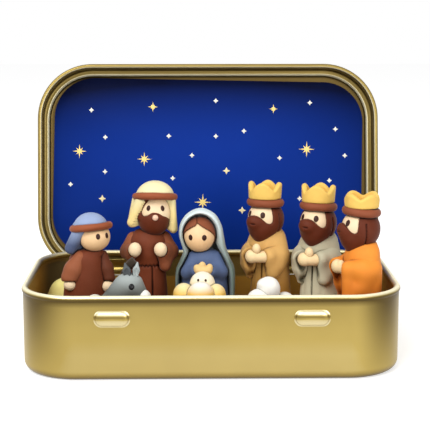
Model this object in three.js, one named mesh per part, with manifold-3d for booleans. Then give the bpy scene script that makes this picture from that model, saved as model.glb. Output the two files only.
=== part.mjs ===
// A nativity scene in a hinged tin: a pressed gold tin stands open, and a set of clay figures stands on its floor.
// The tin is two pressed sheets, base and lid, joined by two curled knuckles, and a printed night-sky card lines the lid.
// Each figure is pressed together from separate pieces of clay and lifts out of the tin.
// Millimetres. X runs along the tin, Y from front to back, Z up. The origin is the middle of the tin's underside.
import * as THREE from "three";
import { mergeVertices } from "three/addons/utils/BufferGeometryUtils.js";
import Module from "manifold-3d";

const wasm = await Module();
wasm.setup();

// Driving dimensions of the tin
const TIN_HEIGHT = 25.5; // underside to the top of the rolled rim
const TIN_CORNER = 17; // plan radius of the corners, over the rolled rim
const SHEET = 0.4; // tinplate with its lacquer
const FOOT_FILLET = 3; // between the wall and the floor
const RIM_BEAD = 1; // radius of the rolled rim
const RIM_PROUD = 0.35; // how far the rolled rim stands out from the wall
const SIDE_ROOM = 1.2; // from the outermost figure to the rolled rim
const FRONT_ROOM = 8.2; // from the front row to the rolled rim
const CATCH_LENGTH = 10.4; // the two pressed bumps that hold the lid shut
const CATCH_HEIGHT = 5;
const CATCH_PROUD = 0.9;
const CATCH_DROP = 6.7; // from the top of the rim to the middle of a bump
const CATCH_EDGE = 1.2; // how far a bump's face is drawn in from its foot

// Driving dimensions of the lid and its hinges
const LID_PLAY = 0.3; // between the rolled rim and the lid's skirt
const LID_SKIRT = 6.4; // from the hem to the ledge
const LID_LEAN = 11; // degrees past upright, where the hinge tongues stop the lid
const HEM_BEAD = 0.7; // radius of the rolled hem
const SHOULDER = 0.8; // radius between skirt and ledge
const LEDGE = 0.7; // width of the flat ledge inside the skirt
const PANEL_RUN = 1.1; // the slope from the ledge up to the raised panel
const PANEL_RISE = 1.8;
const CARD_THICKNESS = 0.5;
const CARD_MARGIN = 0.8; // from the panel's edge to the card's edge
const CARD_TURN = 1.1; // degrees, as it was glued
const GLUE = 0.3; // between the card and the panel
const HINGE_SPREAD = 29; // from the middle to each hinge and each catch
const HINGE_BAR = 0.9; // radius of the bar that a knuckle turns on
const HINGE_PLAY = 0.3;
const KNUCKLE_LENGTH = 11;
const KNUCKLE_WALL = 0.5;
const HEM_LIFT = 1.6; // from the hinge axis to the shut lid's hem
const BRIDGE_END = 1; // thickness of the ears that carry the bar
const WINDOW_TOP_DROP = 3.4; // from the top of the rim to the hinge window
const WINDOW_FOOT = 2.5; // from the hinge axis down to the window's lower edge
const TONGUE_REACH = 0.8; // how far a stop tongue passes the window's upper edge

// Driving dimensions of the clay figures
const CLAY_GAP = 0.3; // where one piece of clay is pressed on another
const STAND_GAP = 0.1; // under a figure's foot
const MOTHER_HALF_WIDTH = 9.7;
const FATHER_HALF_WIDTH = 9.1;
const SHEPHERD_HALF_WIDTH = 8;
const KING_HALF_WIDTH = 8;
const KING_DEPTH_STEP = 15.5; // from the middle king forward to the end king
const KING_SIDE_STEP = 11.4; // from the middle king sideways to the end king
const SHEEP_HALF_DEPTH = 5.8;
const STRAW_RADIUS = 7.2;
const STRAW_ROOM = 0.8; // from the bundle to the rim
const STRAW_HEIGHT = 19.2;
const CROWN_POINTS = 4;
const CROWN_RADIUS = 5.5;
const CROWN_WALL = 1.8;
const CROWN_HEIGHT = 5.45;
const CROWN_DIP = 2.6; // from a point down to the dip beside it
const CROWN_TURN = 13; // degrees, of the points about the head

const DEGREE = Math.PI / 180;
const CORNER_STEPS = 5;
const FILLET_STEPS = 2;
const BEAD_SIDES = 6;
const BALL_SIDES = 10;
const TURNED_SIDES = 12;

// Places on the floor: the back row keeps its neighbours apart by their widths, and the front row stands before it.
const MOTHER = { x: -1.6, y: 5 };
const FATHER = { x: MOTHER.x - MOTHER_HALF_WIDTH - FATHER_HALF_WIDTH + 0.6, y: MOTHER.y + 6.5 };
const SHEPHERD = { x: FATHER.x - FATHER_HALF_WIDTH - SHEPHERD_HALF_WIDTH - 2.2, y: MOTHER.y - 3 };
const KING_TAN = { x: MOTHER.x + MOTHER_HALF_WIDTH + KING_HALF_WIDTH + 1.9, y: MOTHER.y + 7, turn: -28 };
const KING_GREY = { x: KING_TAN.x + 2 * KING_HALF_WIDTH + 0.2, y: KING_TAN.y - 5, turn: -28 };
const KING_ORANGE = { x: KING_GREY.x + KING_SIDE_STEP, y: KING_GREY.y - KING_DEPTH_STEP, turn: -70 };
const BABY = { x: MOTHER.x - 2, y: MOTHER.y - 22 };
const DONKEY = { x: SHEPHERD.x + 10, y: SHEPHERD.y - 22 };
const SHEEP = { x: KING_TAN.x - 0.2, y: KING_TAN.y - 30 };

// Sizes that follow
const HALF_WIDTH = KING_ORANGE.x + KING_HALF_WIDTH + SIDE_ROOM + 2 * RIM_BEAD;
const HALF_DEPTH = SHEEP_HALF_DEPTH - SHEEP.y + FRONT_ROOM + 2 * RIM_BEAD;
const WALL_INSET = RIM_PROUD; // from the rim's outline in to the wall's outer face
const FLOOR = SHEET;
const LID_GROWTH = LID_PLAY + SHEET; // from the rim's outline out to the skirt's outer face
const HINGE_Y = HALF_DEPTH + LID_PLAY + HEM_BEAD;
const HINGE_Z = TIN_HEIGHT + LID_PLAY - (LID_SKIRT - SHEET) - HEM_LIFT;
const KNUCKLE_BORE = HINGE_BAR + HINGE_PLAY;
const KNUCKLE_RADIUS = KNUCKLE_BORE + KNUCKLE_WALL;
const WINDOW_LENGTH = KNUCKLE_LENGTH + 2 * HINGE_PLAY;
const STRAW = {
  x: -(HALF_WIDTH - TIN_CORNER) - (TIN_CORNER - 2 * RIM_BEAD - STRAW_RADIUS - STRAW_ROOM),
  y: HALF_DEPTH - TIN_CORNER,
};

// Materials, one for each finish
const paint = (color, roughness, metalness = 0) => new THREE.MeshStandardMaterial({ color, roughness, metalness });
const GOLD = paint(0xbfa45c, 0.38, 1);
const NIGHT_BLUE = paint(0x16348f, 0.6);
const SKIN = paint(0xf3cfa8, 0.55);
const BROWN = paint(0x6b3320, 0.6);
const HAIR = paint(0x5a2a1a, 0.6);
const TERRACOTTA = paint(0x9a5138, 0.6);
const DUST_BLUE = paint(0x7d95c6, 0.6);
const CREAM = paint(0xf1dd98, 0.6);
const SLATE_BLUE = paint(0x52638f, 0.6);
const SAGE = paint(0xb4c6c4, 0.6);
const TAN = paint(0xcfa35c, 0.6);
const GREY = paint(0xa9a48c, 0.6);
const ORANGE = paint(0xe8842c, 0.6);
const CROWN_GOLD = paint(0xf2c766, 0.5);
const DONKEY_GREY = paint(0x8f9492, 0.6);
const MANE = paint(0x3b2c22, 0.6);
const WHITE = paint(0xf4f2ec, 0.6);
const STRAW_YELLOW = paint(0xefd078, 0.6);

// Solids

// A three.js geometry as a solid: shared vertices are merged, and triangles that collapse are left out.
function solid(geometry) {
  const loose = geometry.index ? geometry.toNonIndexed() : geometry.clone();
  loose.deleteAttribute("normal");
  loose.deleteAttribute("uv");
  const merged = mergeVertices(loose, 1e-4);
  const corners = merged.index.array;
  const kept = [];
  for (let i = 0; i < corners.length; i += 3) {
    const [a, b, c] = corners.slice(i, i + 3);
    if (a !== b && b !== c && c !== a) kept.push(a, b, c);
  }
  const vertProperties = new Float32Array(merged.attributes.position.array);
  return new wasm.Manifold(new wasm.Mesh({ numProp: 3, vertProperties, triVerts: new Uint32Array(kept) }));
}

// The largest body of a solid, when a cut has left crumbs beside it.
function mainBody(whole) {
  return whole.decompose().reduce((best, body) => (body.volume() > best.volume() ? body : best));
}

// A solid back as a three.js geometry.
function geometryOf(body) {
  const mesh = body.getMesh();
  return new THREE.BufferGeometry()
    .setAttribute("position", new THREE.BufferAttribute(mesh.vertProperties, 3))
    .setIndex(new THREE.BufferAttribute(mesh.triVerts, 1));
}

function nodeMesh(name, body, material) {
  const geometry = geometryOf(body);
  geometry.computeVertexNormals();
  const mesh = new THREE.Mesh(geometry, material);
  mesh.name = name;
  return mesh;
}

// A closed surface through rings of points, counter-clockwise seen from the last ring. Open stacks get their ends
// filled, and a looped stack joins its last ring to its first.
function skin(rings, looped = false) {
  const count = rings[0].length;
  const points = rings.flat();
  const index = [];
  const bands = looped ? rings.length : rings.length - 1;
  for (let k = 0; k < bands; k++) {
    const low = k * count;
    const high = ((k + 1) % rings.length) * count;
    for (let j = 0; j < count; j++) {
      const next = (j + 1) % count;
      index.push(low + j, low + next, high + next, low + j, high + next, high + j);
    }
  }
  if (!looped) {
    const middle = (ring) => ring.reduce((sum, p) => sum.add(p), new THREE.Vector3()).divideScalar(count);
    const foot = points.push(middle(rings[0])) - 1;
    const head = points.push(middle(rings.at(-1))) - 1;
    const top = (rings.length - 1) * count;
    for (let j = 0; j < count; j++) {
      const next = (j + 1) % count;
      index.push(foot, next, j, head, top + j, top + next);
    }
  }
  return new THREE.BufferGeometry().setFromPoints(points).setIndex(index);
}

// The outline of a rectangle with round corners, counter-clockwise, in the XY plane.
function roundedOutline(halfWidth, halfDepth, corner) {
  const outline = [];
  for (let quarter = 0; quarter < 4; quarter++) {
    const right = quarter === 0 || quarter === 3 ? 1 : -1;
    const back = quarter < 2 ? 1 : -1;
    for (let step = 0; step <= CORNER_STEPS; step++) {
      const angle = (quarter + step / CORNER_STEPS) * 90 * DEGREE;
      outline.push({
        x: right * (halfWidth - corner) + corner * Math.cos(angle),
        y: back * (halfDepth - corner) + corner * Math.sin(angle),
        out: [Math.cos(angle), Math.sin(angle)],
      });
    }
  }
  return outline;
}

// A pressed shape: the outline at each level, drawn in by the level's inset.
function pressed(outline, levels) {
  const ring = ({ inset, z }) => outline.map((p) => new THREE.Vector3(p.x - inset * p.out[0], p.y - inset * p.out[1], z));
  return solid(skin(levels.map(ring)));
}

// A round bead rolled along the whole outline.
function beadAlong(outline, inset, z, radius) {
  const section = (p) =>
    Array.from({ length: BEAD_SIDES }, (_, k) => {
      const angle = (k / BEAD_SIDES) * 360 * DEGREE;
      const drawnIn = inset - radius * Math.cos(angle);
      return new THREE.Vector3(p.x - drawnIn * p.out[0], p.y - drawnIn * p.out[1], z + radius * Math.sin(angle));
    });
  return solid(skin(outline.map(section).reverse(), true));
}

function block(width, depth, height, x, y, z) {
  return solid(new THREE.BoxGeometry(width, depth, height).translate(x, y, z));
}

// A round bar along X.
function barAlongX(radius, length, x, y, z, sides = 12) {
  return solid(new THREE.CylinderGeometry(radius, radius, length, sides).rotateZ(90 * DEGREE).translate(x, y, z));
}

// The tin

const RIM_OUTLINE = roundedOutline(HALF_WIDTH, HALF_DEPTH, TIN_CORNER);

// Levels of a wall that rises from a flat floor through a fillet.
function trayLevels(inset, floor, fillet, top) {
  const levels = [];
  for (let step = 0; step <= FILLET_STEPS; step++) {
    const angle = (step / FILLET_STEPS) * 90 * DEGREE;
    levels.push({ inset: inset + fillet * (1 - Math.sin(angle)), z: floor + fillet * (1 - Math.cos(angle)) });
  }
  levels.push({ inset, z: top });
  return levels;
}

// A pressed bump on the front wall, as long and high as asked, reaching from one depth to another.
function catchBump(x, shrink, from, to) {
  const z = TIN_HEIGHT - CATCH_DROP;
  const outline = roundedOutline(CATCH_LENGTH / 2 - shrink, CATCH_HEIGHT / 2 - shrink, CATCH_HEIGHT / 2 - shrink);
  const ring = (inset, y) =>
    outline.map((p) => new THREE.Vector3(x + p.x - inset * p.out[0], y, z + p.y - inset * p.out[1]));
  const round = [0, 0.5, 1].map((share) => ring(CATCH_EDGE * (1 - Math.cos(share * 70 * DEGREE)), from + (to - from) * share));
  return solid(skin([ring(0, from + SHEET), ...round]));
}

function tinBase() {
  const wallTop = TIN_HEIGHT - RIM_BEAD;
  const above = TIN_HEIGHT + RIM_BEAD;
  const wallInner = WALL_INSET + SHEET;
  let tray = pressed(RIM_OUTLINE, trayLevels(WALL_INSET, 0, FOOT_FILLET, wallTop)).subtract(
    pressed(RIM_OUTLINE, trayLevels(wallInner, FLOOR, FOOT_FILLET - SHEET, above)),
  );
  tray = tray.add(beadAlong(RIM_OUTLINE, RIM_BEAD, wallTop, RIM_BEAD));
  const wallFront = -HALF_DEPTH + WALL_INSET;
  const wallBack = HALF_DEPTH - WALL_INSET;
  const windowTop = TIN_HEIGHT - WINDOW_TOP_DROP;
  const windowFoot = HINGE_Z - WINDOW_FOOT;
  for (const x of [-HINGE_SPREAD, HINGE_SPREAD]) {
    tray = tray
      .add(catchBump(x, 0, wallFront, wallFront - CATCH_PROUD))
      .subtract(catchBump(x, SHEET, wallFront + SHEET, wallFront - CATCH_PROUD + SHEET));
    // The wall is slit above and below the hinge and its middle strip is pressed out as a bar between two ears.
    tray = tray.subtract(
      block(WINDOW_LENGTH, 4 * SHEET, windowTop - windowFoot, x, wallBack - SHEET / 2, (windowTop + windowFoot) / 2),
    );
    const earReach = HINGE_Y + HINGE_BAR - (wallBack - SHEET / 2);
    for (const side of [-1, 1]) {
      const earX = x + side * (WINDOW_LENGTH / 2 + BRIDGE_END / 2);
      tray = tray.add(block(BRIDGE_END, earReach, 2 * HINGE_BAR, earX, HINGE_Y + HINGE_BAR - earReach / 2, HINGE_Z));
    }
    tray = tray.add(barAlongX(HINGE_BAR, WINDOW_LENGTH + BRIDGE_END, x, HINGE_Y, HINGE_Z));
  }
  return tray;
}

// The lid is modelled shut, about its hinge axis, and its group swings it open.
const LID_OUTLINE = roundedOutline(HALF_WIDTH + LID_GROWTH, HALF_DEPTH + LID_GROWTH, TIN_CORNER + LID_GROWTH).map((p) => ({
  ...p,
  y: p.y - HINGE_Y,
}));
const OPEN_ANGLE = 90 + LID_LEAN;
const PANEL_INSET = SHOULDER + LEDGE + PANEL_RUN;
const PANEL_TOP = HEM_LIFT + LID_SKIRT + PANEL_RISE;

// Levels of the lid's outside, drawn in and lowered by the sheet for its inside.
function lidLevels(foot, drop) {
  const ledge = HEM_LIFT + LID_SKIRT;
  const levels = [{ inset: drop, z: foot }];
  for (let step = 0; step <= FILLET_STEPS; step++) {
    const angle = (step / FILLET_STEPS) * 90 * DEGREE;
    levels.push({ inset: drop + SHOULDER * (1 - Math.cos(angle)), z: ledge - drop - SHOULDER * (1 - Math.sin(angle)) });
  }
  const ledgeInset = drop + SHOULDER + LEDGE;
  levels.push({ inset: ledgeInset, z: ledge - drop });
  levels.push({ inset: ledgeInset + 0.6 * PANEL_RUN, z: ledge - drop + 0.8 * PANEL_RISE });
  levels.push({ inset: ledgeInset + PANEL_RUN, z: ledge - drop + PANEL_RISE });
  return levels;
}

// The angle above the inward direction at which a stop tongue meets the window's upper inner edge.
function tongueAngle() {
  const inward = HINGE_Y - (HALF_DEPTH - WALL_INSET - SHEET);
  const up = TIN_HEIGHT - WINDOW_TOP_DROP - HINGE_Z;
  const reach = Math.hypot(inward, up);
  return { reach, angle: Math.atan2(up, inward) - Math.asin((SHEET / 2 + HINGE_PLAY) / reach) };
}

// One hinge knuckle: a curl round the bar, the tab that joins it to the hem, and the tongue that stops the lid.
function knuckle(x) {
  const curl = barAlongX(KNUCKLE_RADIUS, KNUCKLE_LENGTH, x, 0, 0, 16);
  const tabFoot = (KNUCKLE_BORE + KNUCKLE_RADIUS) / 2;
  const tabTop = HEM_LIFT + HEM_BEAD;
  const tab = block(KNUCKLE_LENGTH, 2 * SHEET, tabTop - tabFoot, x, 0, (tabTop + tabFoot) / 2);
  const { reach, angle } = tongueAngle();
  const length = reach + TONGUE_REACH - KNUCKLE_BORE;
  const tongue = solid(
    new THREE.BoxGeometry(KNUCKLE_LENGTH - 2 * SHEET, length, SHEET)
      .translate(0, -KNUCKLE_BORE - length / 2, 0)
      .rotateX(OPEN_ANGLE * DEGREE - angle)
      .translate(x, 0, 0),
  );
  return curl.add(tab).add(tongue).subtract(barAlongX(KNUCKLE_BORE, 2 * KNUCKLE_LENGTH, x, 0, 0, 16));
}

function lidShell() {
  const hemMiddle = HEM_LIFT + HEM_BEAD;
  let shell = pressed(LID_OUTLINE, lidLevels(hemMiddle, 0)).subtract(pressed(LID_OUTLINE, lidLevels(0, SHEET)));
  shell = shell.add(beadAlong(LID_OUTLINE, SHEET - HEM_BEAD, hemMiddle, HEM_BEAD));
  for (const x of [-HINGE_SPREAD, HINGE_SPREAD]) shell = shell.add(knuckle(x));
  return shell;
}

// The night-sky card, glued a little askew under the raised panel.
function skyCard() {
  const inset = PANEL_INSET + SHEET + CARD_MARGIN;
  const grown = LID_GROWTH - inset;
  const outline = roundedOutline(HALF_WIDTH + grown, HALF_DEPTH + grown, TIN_CORNER + grown);
  const top = PANEL_TOP - SHEET - GLUE;
  const ring = (z) => outline.map((p) => new THREE.Vector3(p.x, p.y, z));
  return solid(skin([ring(top - CARD_THICKNESS), ring(top)]).rotateZ(CARD_TURN * DEGREE).translate(0, -HINGE_Y, 0));
}

// Clay shapes: each is a function of how far it is grown, so that a neighbour can be cut clear of it.

function ball([x, y, z], [rx, ry, rz], sides = BALL_SIDES) {
  return (grow) =>
    solid(
      new THREE.SphereGeometry(1, sides, Math.round(sides * 0.6))
        .rotateX(90 * DEGREE)
        .scale(rx + grow, ry + grow, rz + grow)
        .translate(x, y, z),
    );
}

// A shape turned about a vertical axis, flattened front to back. The profile is radius and height, from the foot up.
function turned(profile, flatten, [x, y, z] = [0, 0, 0], sides = TURNED_SIDES) {
  return (grow) => {
    const wall = profile.map(([radius, height], k) => {
      const lift = k === 0 ? -grow : k === profile.length - 1 ? grow : 0;
      return new THREE.Vector2(radius + grow, height + lift);
    });
    const outline = [new THREE.Vector2(0, wall[0].y), ...wall, new THREE.Vector2(0, wall.at(-1).y)];
    return solid(new THREE.LatheGeometry(outline, sides).rotateX(90 * DEGREE).scale(1, flatten, 1).translate(x, y, z));
  };
}

// A tapered capsule: two round ends of their own radii, joined by a cone.
function capsule(from, to, fromRadius, toRadius, sides = 9) {
  const start = new THREE.Vector3(...from);
  const along = new THREE.Vector3(...to).sub(start);
  const length = along.length();
  const turn = new THREE.Quaternion().setFromUnitVectors(new THREE.Vector3(0, 1, 0), along.clone().normalize());
  const lean = Math.asin((fromRadius - toRadius) / length);
  const steps = 2;
  return (grow) => {
    const profile = [];
    for (let k = 0; k <= steps; k++) {
      const angle = -Math.PI / 2 + (k / steps) * (Math.PI / 2 + lean);
      profile.push(new THREE.Vector2((fromRadius + grow) * Math.cos(angle), (fromRadius + grow) * Math.sin(angle)));
    }
    for (let k = 0; k <= steps; k++) {
      const angle = lean + (k / steps) * (Math.PI / 2 - lean);
      profile.push(new THREE.Vector2((toRadius + grow) * Math.cos(angle), length + (toRadius + grow) * Math.sin(angle)));
    }
    profile[0].x = 0;
    profile.at(-1).x = 0;
    return solid(new THREE.LatheGeometry(profile, sides).applyQuaternion(turn).translate(...from));
  };
}

// A rolled band worn round the head, tilted sideways and back.
function rolledBand([x, y, z], radius, thickness, tilt = 0, back = 0) {
  return (grow) =>
    solid(
      new THREE.TorusGeometry(radius, thickness + grow, 6, 12)
        .rotateY(tilt * DEGREE)
        .rotateX(-back * DEGREE)
        .translate(x, y, z),
    );
}

// A straight round leg that stands on the floor.
function leg(x, y, radius, height) {
  return turned([[radius, 0], [radius, height]], 1, [x, y, 0], 6);
}

function slab([x, y, z], [width, depth, height]) {
  return (grow) => block(width + 2 * grow, depth + 2 * grow, height + 2 * grow, x, y, z);
}

const join = (...shapes) => (grow) => shapes.map((shape) => shape(grow)).reduce((whole, next) => whole.add(next));
const cut = (shape, ...tools) => (grow) => tools.reduce((left, tool) => left.subtract(tool(-grow)), shape(grow));

// A figure from its pieces, in the order in which they are pressed together: each is cut clear of those before it.
function figure(name, place, pieces) {
  const group = new THREE.Group();
  group.position.set(place.x, place.y, FLOOR + STAND_GAP);
  group.rotation.z = (place.turn ?? 0) * DEGREE;
  pieces.forEach(([piece, shape, material], k) => {
    const clear = pieces.slice(0, k).reduce((left, [, earlier]) => left.subtract(earlier(CLAY_GAP)), shape(0));
    group.add(nodeMesh(`${name}_${piece}`, mainBody(clear), material));
  });
  return group;
}

// The figures, each facing the front in its own frame, with its foot at z = 0

function shepherd() {
  const head = [2.9, -0.6, 35.8];
  return figure("shepherd", SHEPHERD, [
    ["robe", turned([[7.7, 0], [7.9, 1.5], [7.7, 12], [6.9, 20], [5.6, 27], [4.9, 29.6], [3.4, 31.4]], 0.82), BROWN],
    ["head", ball(head, [4.9, 4.9, 4.65]), SKIN],
    [
      "headcloth",
      join(
        cut(ball([1.6, 0.3, 37.9], [5.7, 5.5, 5.4]), ball([head[0] + 4.4, head[1] - 6, 33.4], [7.4, 7.4, 7.2])),
        capsule([-2.2, -0.6, 37.6], [-4.6, -0.8, 32.2], 2.2, 1.9),
        capsule([-2.4, 1.6, 38], [-3.4, 1.8, 32.4], 2.2, 2),
      ),
      DUST_BLUE,
    ],
    ["headband", rolledBand([1.75, 0, 38.75], 5.6, 1.15, -5.5, 7), TERRACOTTA],
    ["sleeve_left", capsule([-2, -1.7, 29], [-4.9, -2.9, 23.6], 2.2, 2.75), BROWN],
    ["sleeve_right", capsule([5.3, 0.4, 29.2], [7.1, -1.2, 23], 1.6, 2.1), BROWN],
    ["hand_left", ball([-4.9, -3.7, 20.8], [1.9, 1.9, 1.8], 8), SKIN],
    ["hand_right", ball([6.8, -2.3, 20.2], [1.9, 1.8, 1.8], 8), SKIN],
  ]);
}

function father() {
  const head = [2.4, -0.5, 41.8];
  const sleeve = (side, shoulder, elbow) =>
    join(
      capsule(shoulder, elbow, 2.4, 2.75),
      capsule(elbow, [side * 4.6, -4.8, 29.8], 2.6, 2.2),
      capsule(elbow, [side * 5.5, -4.2, side > 0 ? 25.2 : 28], 2.4, 1.7),
    );
  return figure("father", FATHER, [
    [
      "robe",
      turned([[6.4, 0], [6.5, 1.2], [6.1, 15], [5.6, 23], [5.8, 26], [6.5, 29], [6.2, 32.6], [4.9, 35], [3.4, 36.2]], 0.85),
      BROWN,
    ],
    ["head", ball(head, [5.05, 5, 5.9]), SKIN],
    [
      "headcloth",
      join(
        cut(ball([2.3, 0.5, 45.3], [6.3, 6.1, 6.5]), slab([head[0], -4.2, 40.6], [20, 10, 12])),
        capsule([-3, 0.4, 45], [-4.9, -0.6, 38.7], 1.9, 1.85),
        capsule([7.4, 0.6, 45], [8, -0.5, 36.7], 1.6, 1.55),
      ),
      CREAM,
    ],
    ["headband", rolledBand([2.25, 0, 46.75], 6.1, 1.2, 1, 10), TERRACOTTA],
    [
      "beard",
      cut(ball([2.1, head[1] - 0.4, 39.8], [5.4, 5.6, 5.2]), slab([head[0], 0, 47.6], [14, 14, 12])),
      HAIR,
    ],
    ["sleeve_left", sleeve(-1, [-4.6, 0.3, 33], [-6.2, -0.9, 29.2]), BROWN],
    ["sleeve_right", sleeve(1, [5, 0.3, 33.2], [6.9, -0.9, 29.2]), BROWN],
    ["hand_left", ball([-4, -6.8, 30.9], [2.05, 1.9, 2.3], 8), SKIN],
    ["hand_right", ball([4.1, -6.9, 30.9], [2.05, 1.9, 2.3], 8), SKIN],
  ]);
}

function mother() {
  const head = [-1.8, -0.9, 35.7];
  return figure("mother", MOTHER, [
    [
      "dress",
      join(
        turned([[7.6, 0], [7.8, 1.5], [7.6, 16], [6.7, 24], [5, 28.6], [3, 30.6]], 0.85, [-0.2, 0, 0]),
        capsule([-3.9, -0.8, 28.4], [-5.2, -3, 24], 1.9, 2.4),
        capsule([-5.2, -3, 24], [-3.2, -6.2, 25], 2.3, 1.8),
        capsule([3.4, -0.8, 28.6], [4.6, -3, 24.2], 1.9, 2.4),
        capsule([4.6, -3, 24.2], [1.9, -6.2, 25], 2.3, 1.8),
      ),
      SLATE_BLUE,
    ],
    ["head", ball(head, [4.9, 4.8, 5.5]), SKIN],
    [
      "hair",
      cut(
        ball([head[0], head[1] + 0.3, 36.4], [5.3, 5.2, 5.3]),
        capsule([head[0], -6.6, 38.6], [head[0], -7.4, 33], 1.2, 5.6),
        slab([head[0], 0, 28], [16, 16, 12]),
      ),
      HAIR,
    ],
    [
      "veil",
      join(
        cut(ball([-1.4, 0.6, 36.6], [7, 6.8, 7.4]), ball([head[0], -9, 35], [5.8, 8, 7])),
        cut(
          turned([[9.4, 0], [9.5, 2], [9.5, 20], [9.2, 25], [7.4, 29.5], [6.6, 33]], 0.84),
          slab([0, -8.4, 17], [24, 12, 40]),
        ),
      ),
      SAGE,
    ],
    ["hands", join(ball([-0.7, -7.9, 25.6], [2.9, 1.8, 1.5], 8), ball([-0.9, -7.7, 27], [1.9, 1.3, 1.6], 6)), SKIN],
  ]);
}

function baby() {
  return figure("baby", BABY, [
    ["manger", turned([[5.4, 0], [5.8, 1], [7, 15.2]], 0.9), BROWN],
    ["head", ball([0.95, 1.4, 24.2], [3.85, 3.5, 4]), SKIN],
    ["swaddling", ball([0.35, -3.9, 21.9], [4.2, 3.9, 4.2]), WHITE],
    [
      "straw",
      join(
        ball([0, 0, 18.2], [7.8, 6.8, 3.6]),
        ball([-4.7, -0.8, 21.7], [3.2, 4.2, 3.4], 8),
        ball([5, -0.8, 21.5], [3, 4.2, 3.3], 8),
      ),
      STRAW_YELLOW,
    ],
  ]);
}

function donkey() {
  const legs = [-9.6, 0.4].flatMap((x) => [-2.4, 2.4].map((y) => leg(x, y, 1.9, 12)));
  return figure("donkey", DONKEY, [
    [
      "body",
      join(
        capsule([-9, 0, 14], [0, 0, 13.9], 5, 4.9),
        capsule([-0.6, 0, 17], [3.7, 0, 24.4], 5.4, 4.15),
        capsule([5.2, 0, 24.6], [8.2, -0.3, 20.8], 4, 2.6),
        ...legs,
        capsule([-13.6, 0, 15.6], [-14.4, 0, 9], 0.9, 1.1, 6),
      ),
      DONKEY_GREY,
    ],
    ["muzzle", ball([9.4, -1.6, 20.6], [2.4, 3, 3.3], 8), WHITE],
    ["ear_left", capsule([4.2, -0.6, 28], [3.4, -0.2, 31.4], 1.2, 0.6, 7), DONKEY_GREY],
    ["ear_right", capsule([6.6, -0.4, 28.2], [7.1, 0.2, 31.5], 1.1, 0.6, 7), DONKEY_GREY],
    ["mane", capsule([3.2, 2.5, 28.2], [5.3, 2.6, 31.8], 1.5, 1.35, 7), MANE],
    ["saddle_cloth", ball([-5.8, 0, 17.6], [3.5, 5.7, 4.6]), CREAM],
  ]);
}

function sheep() {
  const legs = [-2.6, 6.4].flatMap((x) => [-2.4, 2.4].map((y) => leg(x, y, 1.6, 12)));
  return figure("sheep", SHEEP, [
    [
      "fleece",
      join(
        ball([1.6, 0, 14.6], [6.4, SHEEP_HALF_DEPTH, 7.2]),
        ball([4.3, 0.8, 18.6], [3.3, 4, 3.9], 8),
        ball([-3.7, -2, 20.4], [3.9, 3.5, 3.7], 8),
        ...legs,
      ),
      WHITE,
    ],
    ["head", ball([-0.7, -0.6, 23.4], [3.55, 3.6, 3.8], 8), WHITE],
  ]);
}

function strawBundle() {
  const share = (radius, height) => [STRAW_RADIUS * radius, STRAW_HEIGHT * height];
  const profile = [share(0.97, 0), share(1, 0.1), share(0.94, 0.55), share(0.72, 0.83), share(0.3, 1)];
  return figure("straw", STRAW, [["bundle", turned(profile, 1), STRAW_YELLOW]]);
}

// A crown: a cup whose wall rises to points and dips between them. A lower crown is a smaller share of the full height.
function crown(foot, radius, turn, share) {
  const samples = 4 * CROWN_POINTS;
  const height = CROWN_HEIGHT * share;
  const dip = CROWN_DIP * share ** 2;
  return (grow) => {
    const ring = (r, level) =>
      Array.from({ length: samples }, (_, k) => {
        const angle = (k / samples) * 360 * DEGREE;
        return new THREE.Vector3(r * Math.cos(angle), r * Math.sin(angle), level(angle));
      });
    const low = () => foot - grow;
    const edge = (angle) => foot + height + grow - dip * Math.sin((CROWN_POINTS * (angle - turn * DEGREE)) / 2) ** 2;
    const inside = () => foot + height / 2;
    const inner = radius - CROWN_WALL;
    return solid(skin([ring(radius + grow, low), ring(radius + grow, edge), ring(inner, edge), ring(inner, inside)]));
  };
}

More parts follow.
